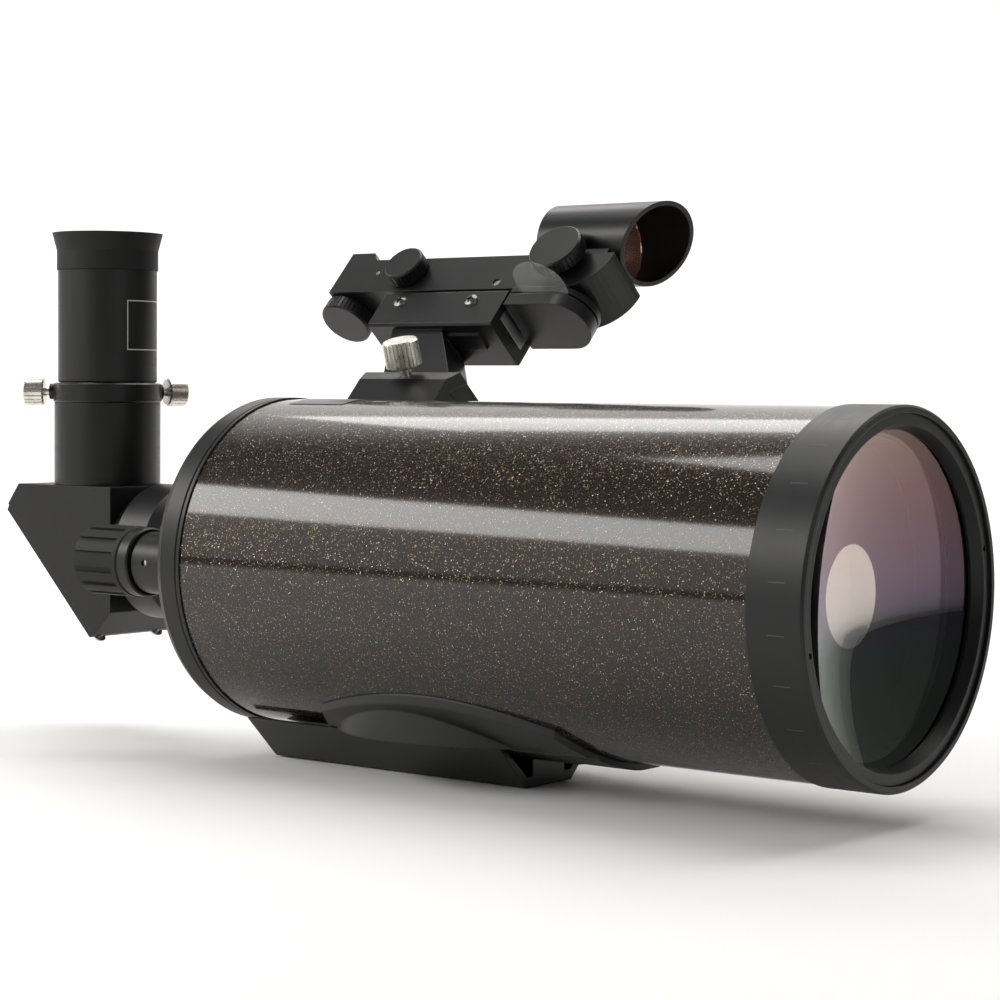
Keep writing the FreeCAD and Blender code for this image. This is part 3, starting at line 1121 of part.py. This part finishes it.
def sight_knobs():
    out = pointing((0, -1, 0))
    bright = sight_knob("bright_body", "bright_radius", "2.3", "(bright_face - sight_half_width)", 36)
    place(bright, ("bright_x", "0 - sight_half_width", "bright_height"), out)
    keep_sight("brightness_knob", bright)
    azimuth = sight_knob("azimuth_body", "azimuth_radius", "0.3", "(azimuth_face - sight_half_width)", 30)
    place(azimuth, ("azimuth_x", "0 - sight_half_width", "azimuth_height"), out)
    keep_sight("azimuth_knob", azimuth)
    altitude = sight_knob("altitude_body", "altitude_radius", "0.6", "(bar_under - altitude_foot)", 36)
    place(altitude, ("altitude_x", "0", "bar_under"), pointing((0, 0, -1)))
    keep_sight("altitude_knob", altitude)


def sight_electronics():
    board = box("board_block", ("40", "14", "1.2"), ("-70", "-7", "bar_under + 2"))
    keep_sight("circuit_board", board)
    lamp = turned("lamp_body", [
        ("0", "0"), ("0", "1.5"), ("3", "1.5"), ("4", "1"), ("4.3", "0")])
    keep_sight("red_led", place(lamp, ("block_toe_x - 5.9", "0", "block_top - 1.9")))


def build():
    fill_sheet()
    for make in (main_tube, front_ring, corrector_retainer, corrector, rear_cell, collimation_screws,
                 baffle_tube, primary_mirror, focus_drive, visual_back, diagonal, eyepiece_holder,
                 holder_thumbscrews, eyepiece, dovetail_bar, saddle_screws, saddle, finder_shoe,
                 shoe_thumbscrew, finder_bracket, sight_mount, sight_housing, battery, hood,
                 sight_knobs, sight_electronics):
        make()
    doc.recompute()


def check_and_write():
    failed = [item.Label for item in doc.Objects if {"Invalid", "Error"} & set(item.State)]
    for node, item in nodes.items():
        if item.Shape.isNull() or not item.Shape.isValid() or not item.Shape.Solids:
            failed.append(node)
    if failed:
        raise SystemExit("failed: " + ", ".join(failed))
    os.makedirs("parts", exist_ok=True)
    for node, item in nodes.items():
        item.Shape.exportStep(os.path.join("parts", node + ".step"))
        bounds = item.Shape.BoundBox
        print("%-26s solids %d  volume %9.1f  x %7.1f %7.1f  y %6.1f %6.1f  z %6.1f %6.1f" % (
            node, len(item.Shape.Solids), item.Shape.Volume, bounds.XMin, bounds.XMax,
            bounds.YMin, bounds.YMax, bounds.ZMin, bounds.ZMax))


build()
check_and_write()
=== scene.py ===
"""Looks of the Maksutov telescope: studio, camera, finishes and small surface detail."""

import json
import math

import bpy
from mathutils import Matrix, Vector


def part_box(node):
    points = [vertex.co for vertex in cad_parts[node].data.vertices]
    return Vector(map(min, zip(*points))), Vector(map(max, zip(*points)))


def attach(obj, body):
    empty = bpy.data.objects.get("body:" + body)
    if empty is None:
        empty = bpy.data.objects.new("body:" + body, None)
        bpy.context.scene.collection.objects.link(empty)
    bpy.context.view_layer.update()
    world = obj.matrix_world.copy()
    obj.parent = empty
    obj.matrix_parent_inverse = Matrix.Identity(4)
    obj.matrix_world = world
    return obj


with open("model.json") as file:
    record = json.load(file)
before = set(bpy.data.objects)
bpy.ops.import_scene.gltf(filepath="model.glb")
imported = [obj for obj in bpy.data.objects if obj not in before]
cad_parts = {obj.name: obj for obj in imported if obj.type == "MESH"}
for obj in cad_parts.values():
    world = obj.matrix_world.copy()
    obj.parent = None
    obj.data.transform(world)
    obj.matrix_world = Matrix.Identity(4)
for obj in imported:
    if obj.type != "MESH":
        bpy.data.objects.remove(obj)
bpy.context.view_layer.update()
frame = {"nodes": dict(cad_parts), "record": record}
RECORD = frame["record"]
NODES = frame["nodes"]
MM = 0.001

# measures of the telescope that the finishes and the small detail follow
AXIS_HEIGHT = 61.1 * MM
TUBE_RADIUS = 51.05 * MM
INSIDE_RADIUS = 50.6 * MM
RING_RADIUS = 51.6 * MM
PRINT_THICKNESS = 0.012 * MM

# glass and its film
GLASS_INDEX = 1.52
FILM_INDEX = 1.38


# ------------------------------------------------------------------ node helpers
def material(name):
    """A new node material, its node tree and its main shader."""
    made = bpy.data.materials.new(name)
    made.use_nodes = True
    tree = made.node_tree
    shader = tree.nodes["Principled BSDF"]
    return made, tree, shader


def add(tree, kind, **settings):
    """A new node of the given kind with the given settings."""
    node = tree.nodes.new(kind)
    for key, value in settings.items():
        setattr(node, key, value)
    return node


def link(tree, source, target):
    tree.links.new(source, target)


def coordinates(tree):
    """Coordinates in metres that stay with the piece as it moves."""
    return add(tree, "ShaderNodeTexCoord").outputs["Object"]


def noise(tree, scale, detail=4.0, rough=0.5):
    """Soft random pattern; a scale of 1000 gives spots of about a millimetre."""
    texture = add(tree, "ShaderNodeTexNoise")
    texture.inputs["Scale"].default_value = scale
    texture.inputs["Detail"].default_value = detail
    texture.inputs["Roughness"].default_value = rough
    link(tree, coordinates(tree), texture.inputs["Vector"])
    return texture.outputs["Fac"]


def ramp(tree, source, stops):
    """Colours blended along the source's value; each stop is a position and a colour."""
    node = add(tree, "ShaderNodeValToRGB")
    elements = node.color_ramp.elements
    while len(elements) < len(stops):
        elements.new(0.5)
    for element, (position, colour) in zip(elements, stops):
        element.position = position
        element.color = (*colour, 1)
    link(tree, source, node.inputs["Fac"])
    return node.outputs["Color"]


def spread(tree, source, low, high):
    """The source's 0 to 1 stretched to run from low to high."""
    node = add(tree, "ShaderNodeMapRange")
    node.inputs["To Min"].default_value = low
    node.inputs["To Max"].default_value = high
    link(tree, source, node.inputs["Value"])
    return node.outputs["Result"]


def calculate(tree, operation, *values):
    """One sum on values that are numbers or other nodes' outputs."""
    node = add(tree, "ShaderNodeMath", operation=operation)
    for slot, value in zip(node.inputs, values):
        if isinstance(value, (int, float)):
            slot.default_value = value
        else:
            link(tree, value, slot)
    return node.outputs["Value"]


def eased_edges(tree, shader, radius_mm, bump_source=None, depth_mm=0.0, strength=1.0):
    """Rounded edge highlights, with an optional fine relief on top."""
    bevel = add(tree, "ShaderNodeBevel", samples=4)
    bevel.inputs["Radius"].default_value = radius_mm * MM
    normal = bevel.outputs["Normal"]
    if bump_source is not None:
        bump = add(tree, "ShaderNodeBump")
        bump.inputs["Strength"].default_value = strength
        bump.inputs["Distance"].default_value = depth_mm * MM
        link(tree, bump_source, bump.inputs["Height"])
        link(tree, normal, bump.inputs["Normal"])
        normal = bump.outputs["Normal"]
    link(tree, normal, shader.inputs["Normal"])


def solid(name, colour, rough, metal=0.0, coat=0.0, edge=0.3, grain=0.0, grain_scale=900.0,
          vary=0.04, spec=0.5):
    """Plain finish whose roughness wanders a little and whose edges catch the light.

    Edge is the rounding of the edges and grain the depth of the surface relief, both in mm.
    """
    made, tree, shader = material(name)
    shader.inputs["Base Color"].default_value = (*colour, 1)
    shader.inputs["Metallic"].default_value = metal
    shader.inputs["Specular IOR Level"].default_value = spec
    shader.inputs["Coat Weight"].default_value = coat
    shader.inputs["Coat Roughness"].default_value = 0.12
    wander = spread(tree, noise(tree, 60.0, 6.0, 0.6), max(rough - vary, 0.02), rough + vary)
    link(tree, wander, shader.inputs["Roughness"])
    fine = noise(tree, grain_scale, 2.0) if grain else None
    eased_edges(tree, shader, edge, fine, grain)
    return made


# ------------------------------------------------------------------ finishes
def flake_paint():
    """Clear-coated black with fine warm metal flakes; flat black inside the tube."""
    made, tree, shader = material("flake_paint")
    cells = add(tree, "ShaderNodeTexVoronoi")
    cells.inputs["Scale"].default_value = 3900.0
    link(tree, coordinates(tree), cells.inputs["Vector"])
    split = add(tree, "ShaderNodeSeparateColor")
    link(tree, cells.outputs["Color"], split.inputs["Color"])
    colour = ramp(tree, split.outputs["Green"], [
        (0.0, (0.08, 0.036, 0.014)), (0.45, (0.24, 0.135, 0.055)),
        (0.75, (0.46, 0.32, 0.16)), (1.0, (0.62, 0.57, 0.50))])
    flake = calculate(tree, "GREATER_THAN", split.outputs["Red"], 0.80)
    glint = calculate(tree, "POWER", split.outputs["Blue"], 3.0)
    bright = calculate(tree, "MULTIPLY", flake, glint)
    mix = add(tree, "ShaderNodeMix", data_type="RGBA")
    mix.inputs["A"].default_value = (0.0072, 0.0040, 0.0020, 1)
    link(tree, bright, mix.inputs["Factor"])
    link(tree, colour, mix.inputs["B"])

    spot = add(tree, "ShaderNodeSeparateXYZ")
    link(tree, coordinates(tree), spot.inputs["Vector"])
    high = calculate(tree, "SUBTRACT", spot.outputs["Z"], AXIS_HEIGHT)
    square = calculate(tree, "ADD", calculate(tree, "MULTIPLY", spot.outputs["Y"], spot.outputs["Y"]),
                       calculate(tree, "MULTIPLY", high, high))
    outside = calculate(tree, "GREATER_THAN", square, INSIDE_RADIUS ** 2)
    inner = add(tree, "ShaderNodeMix", data_type="RGBA")
    inner.inputs["A"].default_value = (0.003, 0.003, 0.003, 1)
    link(tree, outside, inner.inputs["Factor"])
    link(tree, mix.outputs["Result"], inner.inputs["B"])
    link(tree, inner.outputs["Result"], shader.inputs["Base Color"])
    link(tree, calculate(tree, "MULTIPLY", outside, flake), shader.inputs["Metallic"])
    link(tree, spread(tree, outside, 0.85, 0.42), shader.inputs["Roughness"])
    link(tree, outside, shader.inputs["Coat Weight"])
    shader.inputs["Coat Roughness"].default_value = 0.10
    shader.inputs["Specular IOR Level"].default_value = 0.05

    # each flake lies at its own small angle under a smooth coat
    tilt = add(tree, "ShaderNodeVectorMath", operation="SUBTRACT")
    tilt.inputs[1].default_value = (0.5, 0.5, 0.5)
    link(tree, cells.outputs["Color"], tilt.inputs[0])
    small = add(tree, "ShaderNodeVectorMath", operation="SCALE")
    link(tree, calculate(tree, "MULTIPLY", outside, 0.45), small.inputs["Scale"])
    link(tree, tilt.outputs["Vector"], small.inputs[0])
    surface = add(tree, "ShaderNodeNewGeometry")
    total = add(tree, "ShaderNodeVectorMath", operation="ADD")
    link(tree, surface.outputs["Normal"], total.inputs[0])
    link(tree, small.outputs["Vector"], total.inputs[1])
    unit = add(tree, "ShaderNodeVectorMath", operation="NORMALIZE")
    link(tree, total.outputs["Vector"], unit.inputs[0])
    link(tree, unit.outputs["Vector"], shader.inputs["Normal"])
    ripple = add(tree, "ShaderNodeBump")
    ripple.inputs["Strength"].default_value = 0.25
    ripple.inputs["Distance"].default_value = 0.02 * MM
    link(tree, noise(tree, 700.0, 2.0), ripple.inputs["Height"])
    link(tree, ripple.outputs["Normal"], shader.inputs["Coat Normal"])
    return made


def clear_glass(name, film_nm):
    """Glass with an anti-reflection film that colours what it reflects."""
    made, tree, shader = material(name)
    shader.inputs["Base Color"].default_value = (1, 1, 1, 1)
    shader.inputs["Roughness"].default_value = 0.0
    shader.inputs["IOR"].default_value = GLASS_INDEX
    shader.inputs["Transmission Weight"].default_value = 1.0
    shader.inputs["Thin Film Thickness"].default_value = film_nm
    shader.inputs["Thin Film IOR"].default_value = FILM_INDEX
    return made


def corrector_glass():
    """Meniscus with a multi-layer coating: rose where it tips up, green where it tips down."""
    made, tree, shader = material("corrector_glass")
    shader.inputs["Roughness"].default_value = 0.0
    shader.inputs["IOR"].default_value = GLASS_INDEX
    shader.inputs["Specular IOR Level"].default_value = 0.35
    shader.inputs["Transmission Weight"].default_value = 1.0
    shader.inputs["Base Color"].default_value = (0.97, 0.98, 0.97, 1)
    spot = add(tree, "ShaderNodeSeparateXYZ")
    link(tree, coordinates(tree), spot.inputs["Vector"])
    height = add(tree, "ShaderNodeMapRange")
    height.inputs["From Min"].default_value = 15 * MM
    height.inputs["From Max"].default_value = 107 * MM
    link(tree, spot.outputs["Z"], height.inputs["Value"])
    tint = ramp(tree, height.outputs["Result"], [
        (0.0, (0.30, 0.55, 0.20)), (0.30, (0.20, 0.42, 0.30)), (0.50, (0.50, 0.22, 0.55)),
        (0.80, (0.75, 0.18, 0.22)), (1.0, (0.80, 0.30, 0.18))])
    sheen = add(tree, "ShaderNodeBsdfGlossy")
    sheen.inputs["Roughness"].default_value = 0.02
    link(tree, tint, sheen.inputs["Color"])
    blend = add(tree, "ShaderNodeMixShader")
    blend.inputs["Fac"].default_value = 0.045
    link(tree, shader.outputs["BSDF"], blend.inputs[1])
    link(tree, sheen.outputs["BSDF"], blend.inputs[2])
    link(tree, blend.outputs["Shader"], tree.nodes["Material Output"].inputs["Surface"])
    return made


def pull_film():
    """Thin clear film that shows mostly by its sheen."""
    made, tree, shader = material("pull_film")
    shader.inputs["Base Color"].default_value = (0.78, 0.80, 0.80, 1)
    shader.inputs["Roughness"].default_value = 0.12
    shader.inputs["Alpha"].default_value = 0.13
    return made


def red_glass():
    """Coated lens of the sight: lets most light through and reflects a deep red."""
    made, tree, shader = material("red_glass")
    shader.inputs["Base Color"].default_value = (0.75, 0.42, 0.32, 1)
    shader.inputs["Roughness"].default_value = 0.03
    shader.inputs["Transmission Weight"].default_value = 0.85
    shader.inputs["IOR"].default_value = 1.5
    shader.inputs["Specular Tint"].default_value = (1.0, 0.35, 0.25, 1)
    return made


def knurled_nickel():
    """Bright plated metal, a little uneven in tone and polish."""
    made, tree, shader = material("nickel")
    shader.inputs["Metallic"].default_value = 1.0
    tone = ramp(tree, noise(tree, 260.0, 5.0), [(0.3, (0.60, 0.56, 0.50)), (0.7, (0.80, 0.77, 0.71))])
    link(tree, tone, shader.inputs["Base Color"])
    link(tree, spread(tree, noise(tree, 500.0, 4.0), 0.18, 0.38), shader.inputs["Roughness"])
    eased_edges(tree, shader, 0.12, noise(tree, 1500.0, 2.0), 0.01)
    return made


def turned_metal(name, colour, rough, scale=(3000.0, 60.0, 60.0)):
    """Dark anodised metal with the fine rings that a lathe leaves across its largest scale."""
    made, tree, shader = material(name)
    shader.inputs["Base Color"].default_value = (*colour, 1)
    shader.inputs["Metallic"].default_value = 0.0
    shader.inputs["Specular IOR Level"].default_value = 0.36
    stretch = add(tree, "ShaderNodeMapping")
    stretch.inputs["Scale"].default_value = scale
    link(tree, coordinates(tree), stretch.inputs["Vector"])
    rings = add(tree, "ShaderNodeTexNoise")
    rings.inputs["Scale"].default_value = 1.0
    rings.inputs["Detail"].default_value = 3.0
    link(tree, stretch.outputs["Vector"], rings.inputs["Vector"])
    link(tree, spread(tree, rings.outputs["Fac"], rough - 0.08, rough + 0.08), shader.inputs["Roughness"])
    eased_edges(tree, shader, 0.35, rings.outputs["Fac"], 0.012, 0.5)
    return made


BLACK = (0.006, 0.006, 0.0065)
LATHE_UPRIGHT = (60.0, 60.0, 3000.0)

# the finish of each material slot
FINISHES = {
    "tube_finish": flake_paint(),
    "satin_black_metal": turned_metal("satin_black_metal", BLACK, 0.40),
    "bare_aluminium": solid("bare_aluminium", (0.52, 0.52, 0.53), 0.34, metal=1.0, edge=0.2),
    "coated_glass": clear_glass("coated_glass", 108.0),
    "sight_glass": red_glass(),
    "mirror_coat": solid("mirror_coat", (0.90, 0.90, 0.89), 0.03, metal=1.0, edge=0.1, vary=0.01),
    "black_plastic": solid("black_plastic", BLACK, 0.34, edge=0.4, grain=0.02, vary=0.07, spec=0.38),
    "black_rubber": solid("black_rubber", (0.009, 0.009, 0.009), 0.60, grain=0.03, grain_scale=1400.0,
                          spec=0.28),
    "foam": solid("foam", (0.03, 0.03, 0.03), 0.9, grain=0.1, grain_scale=1800.0),
    "nickel": knurled_nickel(),
    "steel": solid("steel", (0.56, 0.55, 0.54), 0.26, metal=1.0, edge=0.12),
    "clear_film": pull_film(),
    "board": solid("board", (0.02, 0.10, 0.04), 0.3, coat=0.4),
    "lamp_red": solid("lamp_red", (0.55, 0.02, 0.015), 0.08, coat=1.0),
}

# pieces whose finish differs from the rest of their slot
SPECIAL = {
    "meniscus_corrector": corrector_glass(),
    "secondary_mirror_spot": solid("spot_coat", (0.60, 0.55, 0.46), 0.04, metal=1.0, edge=0.1, vary=0.01),
    "bracket_clamp_screws": solid("dark_steel", (0.16, 0.155, 0.15), 0.30, metal=1.0, edge=0.12),
    "dovetail_bar": solid("bar_black", (0.005, 0.005, 0.0055), 0.32, edge=0.45, grain=0.02, spec=0.4),
    "saddle": solid("saddle_black", (0.007, 0.007, 0.0075), 0.38, edge=0.9, grain=0.02, spec=0.42),
    "diagonal_housing": solid("diagonal_black", (0.005, 0.005, 0.005), 0.46, edge=0.5, grain=0.05,
                              grain_scale=1500.0, spec=0.34),
    "diagonal_cover": solid("cover_black", (0.006, 0.006, 0.006), 0.42, grain=0.03, spec=0.34),
    "eyepiece_body": turned_metal("eyepiece_black", (0.006, 0.006, 0.006), 0.42, LATHE_UPRIGHT),
    "eyepiece_holder": turned_metal("holder_black", (0.007, 0.007, 0.007), 0.34, LATHE_UPRIGHT),
    "holder_clamp_ring": turned_metal("collar_black", (0.007, 0.007, 0.007), 0.30, LATHE_UPRIGHT),
    "primary_mirror": solid("primary_coat", (0.86, 0.87, 0.88), 0.02, metal=1.0, edge=0.1, vary=0.01),
    "baffle_tube": solid("baffle_black", (0.008, 0.008, 0.008), 0.8),
    "mirror_lock_ring": solid("lock_black", (0.01, 0.01, 0.01), 0.6),
    "coin_cell": solid("coin_steel", (0.72, 0.72, 0.70), 0.22, metal=1.0),
}


def dress_nodes():
    """Give each piece of the frame its finish and its shading."""
    slots = {part["node"]: part["material_slot"] for part in RECORD["subparts"]}
    for name, node in NODES.items():
        finish = SPECIAL.get(name) or FINISHES[slots[name]]
        node.data.materials.clear()
        node.data.materials.append(finish)
        smooth_by_angle(node, 32)


def smooth_by_angle(piece, degrees):
    """Smooth shading with creases kept where two faces meet at more than the angle."""
    mesh = piece.data
    mesh.shade_smooth()
    mesh.set_sharp_from_angle(angle=math.radians(degrees))


# ------------------------------------------------------------------ small detail
def new_piece(name, vertices, faces, finish, body, slot):
    """A visible piece that moves with the given body."""
    mesh = bpy.data.meshes.new(name)
    mesh.from_pydata(vertices, [], faces)
    mesh.update()
    piece = bpy.data.objects.new(name, mesh)
    bpy.context.scene.collection.objects.link(piece)
    piece.data.materials.append(finish)
    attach(piece, body)
    return piece


def curved_patch(place, along_range, turn_range, thickness, rows=6, columns=24):
    """Thin closed patch; place(along, turn, lift) gives a point on the surface it lies on."""
    vertices = []
    for lift in (0.0, thickness):
        for row in range(rows + 1):
            along = along_range[0] + (along_range[1] - along_range[0]) * row / rows
            for column in range(columns + 1):
                turn = turn_range[0] + (turn_range[1] - turn_range[0]) * column / columns
                vertices.append(place(along, turn, lift))
    per_row = columns + 1
    per_layer = per_row * (rows + 1)
    faces = []
    for layer in range(2):
        for row in range(rows):
            for column in range(columns):
                a = layer * per_layer + row * per_row + column
                quad = (a, a + 1, a + 1 + per_row, a + per_row)
                faces.append(quad if layer == 0 else quad[::-1])
    rim = list(range(per_row))
    rim += [row * per_row + columns for row in range(1, rows + 1)]
    rim += [rows * per_row + column for column in range(columns - 1, -1, -1)]
    rim += [row * per_row for row in range(rows - 1, 0, -1)]
    for a, b in zip(rim, rim[1:] + rim[:1]):
        faces.append((b, a, a + per_layer, b + per_layer))
    return vertices, faces


def gathered(patches):
    """Several patches as one mesh."""
    vertices = []
    faces = []
    for part, sides in patches:
        faces += [tuple(corner + len(vertices) for corner in side) for side in sides]
        vertices += part
    return vertices, faces


def about_tube(radius):
    """Points on a cylinder about the optical axis; turns run from +Z towards -Y."""
    low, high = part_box("optical_tube")
    z = (low.z + high.z) / 2
    return lambda along, turn, lift: (
        along, -(radius + lift) * math.sin(turn), z + (radius + lift) * math.cos(turn))


def about_eyepiece(radius):
    """Points on a cylinder about the eyepiece's axis; turns run from +X towards +Y."""
    low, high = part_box("eyepiece_body")
    x = (low.x + high.x) / 2
    y = (low.y + high.y) / 2
    return lambda along, turn, lift: (
        x + (radius + lift) * math.cos(turn), y + (radius + lift) * math.sin(turn), along)


def ring_ticks():
    """Short engraved index lines round the front ring."""
    low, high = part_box("front_ring")
    paint = solid("tick_grey", (0.05, 0.05, 0.05), 0.5)
    width = 0.28 * MM / RING_RADIUS
    turns = [math.radians(15 * index + 7) for index in range(24)]
    patches = [curved_patch(about_tube(RING_RADIUS), (high.x - 10.5 * MM, high.x - 5.5 * MM),
                            (turn, turn + width), PRINT_THICKNESS, 2, 2) for turn in turns]
    new_piece("front_ring_ticks", *gathered(patches), paint, "tube", "satin_black_metal")


def name_plate():
    """Small plain plate on the tube near the rear cell; it carries no words."""
    low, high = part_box("optical_tube")
    plate = solid("plate_black", (0.02, 0.019, 0.018), 0.3, edge=0.2)
    patch = curved_patch(about_tube(TUBE_RADIUS), (low.x + 9 * MM, low.x + 31 * MM),
                         (math.radians(-8), math.radians(14)), 0.15 * MM)
    new_piece("plain_plate", *patch, plate, "tube", "satin_black_metal")


def eyepiece_outline():
    """Empty printed outline on the eyepiece, a rectangle of thin pale lines."""
    low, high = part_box("eyepiece_body")
    ink = solid("pale_ink", (0.55, 0.55, 0.53), 0.5)
    radius = (high.x - low.x) / 2
    on = about_eyepiece(radius)
    bottom = low.z + 10.9 * MM
    top = bottom + 16.6 * MM
    left = math.radians(-20)
    right = math.radians(48)
    line = 0.35 * MM
    turn = line / radius
    patches = [
        curved_patch(on, (bottom, bottom + line), (left, right), PRINT_THICKNESS, 1, 24),
        curved_patch(on, (top - line, top), (left, right), PRINT_THICKNESS, 1, 24),
        curved_patch(on, (bottom, top), (left, left + turn), PRINT_THICKNESS, 8, 1),
        curved_patch(on, (bottom, top), (right - turn, right), PRINT_THICKNESS, 8, 1),
    ]
    new_piece("eyepiece_outline", *gathered(patches), ink, "eyepiece", "satin_black_metal")


# ------------------------------------------------------------------ studio
def studio():
    """Pale floor that curves up into a backdrop behind the telescope."""
    made, tree, shader = material("studio_white")
    shader.inputs["Base Color"].default_value = (0.86, 0.855, 0.845, 1)
    shader.inputs["Roughness"].default_value = 0.75
    shader.inputs["Specular IOR Level"].default_value = 0.15
    away = Vector((-0.619, 0.784, 0.0)).normalized()
    side = Vector((away.y, -away.x, 0.0))
    centre = Vector((0.02, 0.0, -0.0004))
    near, bend_start, bend_radius, top, half_width, steps = -2.2, 1.1, 0.7, 3.2, 3.2, 16
    profile = [(near, 0.0), (bend_start, 0.0)]
    for step in range(1, steps + 1):
        turn = math.radians(90 * step / steps)
        profile.append((bend_start + bend_radius * math.sin(turn),
                        bend_radius - bend_radius * math.cos(turn)))
    profile.append((bend_start + bend_radius, top))
    vertices = []
    for along, height in profile:
        for across in (-half_width, half_width):
            vertices.append(centre + away * along + side * across + Vector((0, 0, height)))
    faces = [(2 * i, 2 * i + 1, 2 * i + 3, 2 * i + 2) for i in range(len(profile) - 1)]
    mesh = bpy.data.meshes.new("studio_floor")
    mesh.from_pydata([tuple(v) for v in vertices], [], faces)
    mesh.shade_smooth()
    floor = bpy.data.objects.new("studio_floor", mesh)
    floor.data.materials.append(made)
    bpy.context.scene.collection.objects.link(floor)


def softbox(name, place, aim, width, height, power):
    """Slightly warm rectangular light; measures in metres, power in watts."""
    lamp = bpy.data.lights.new(name, "AREA")
    lamp.shape = "RECTANGLE"
    lamp.size = width
    lamp.size_y = height
    lamp.energy = power
    lamp.color = (1.0, 0.985, 0.96)
    light = bpy.data.objects.new(name, lamp)
    light.location = place
    direction = Vector(aim) - Vector(place)
    light.rotation_euler = direction.to_track_quat("-Z", "Y").to_euler()
    bpy.context.scene.collection.objects.link(light)


def lights():
    """Broad key on the near side, a fill, a wash on the backdrop and a faint sky."""
    softbox("key_left", (-1.05, -1.15, 0.95), (0.05, 0.0, 0.07), 2.4, 0.42, 20)
    softbox("key_halo", (-1.20, -1.35, 0.70), (0.05, 0.0, 0.07), 2.8, 1.2, 9)
    softbox("fill_right", (1.9, -0.5, 0.9), (0.1, 0.0, 0.06), 0.9, 1.2, 5)
    softbox("backdrop_wash", (-0.2, 0.6, 2.4), (-0.8, 1.2, 0.3), 3.0, 1.2, 52)
    softbox("rim_top", (-0.5, 1.0, 1.3), (0.0, 0.0, 0.1), 1.6, 0.4, 7)
    world = bpy.data.worlds.new("studio_air")
    world.use_nodes = True
    sky = world.node_tree.nodes["Background"]
    sky.inputs["Color"].default_value = (0.95, 0.97, 1.0, 1)
    sky.inputs["Strength"].default_value = 0.14
    bpy.context.scene.world = world


def camera():
    """Level with the tube, ahead and to the right of it, looking slightly down."""
    right = Vector((0.78474, 0.61978, 0.00773))
    up = Vector((-0.03391, 0.03048, 0.99896))
    back = right.cross(up)
    lens = bpy.data.cameras.new("view")
    lens.sensor_width = 36.0
    lens.lens = 90.30
    lens.clip_start = 0.05
    lens.clip_end = 20.0
    view = bpy.data.objects.new("view", lens)
    turn = Matrix((right, up, back)).transposed().to_4x4()
    turn.translation = Vector((0.49247, -0.58512, 0.11640))
    view.matrix_world = turn
    bpy.context.scene.collection.objects.link(view)
    bpy.context.scene.camera = view
    bpy.context.scene.view_settings.view_transform = "Standard"
    bpy.context.scene.view_settings.exposure = 0.0


dress_nodes()
ring_ticks()
name_plate()
eyepiece_outline()
studio()
lights()
camera()
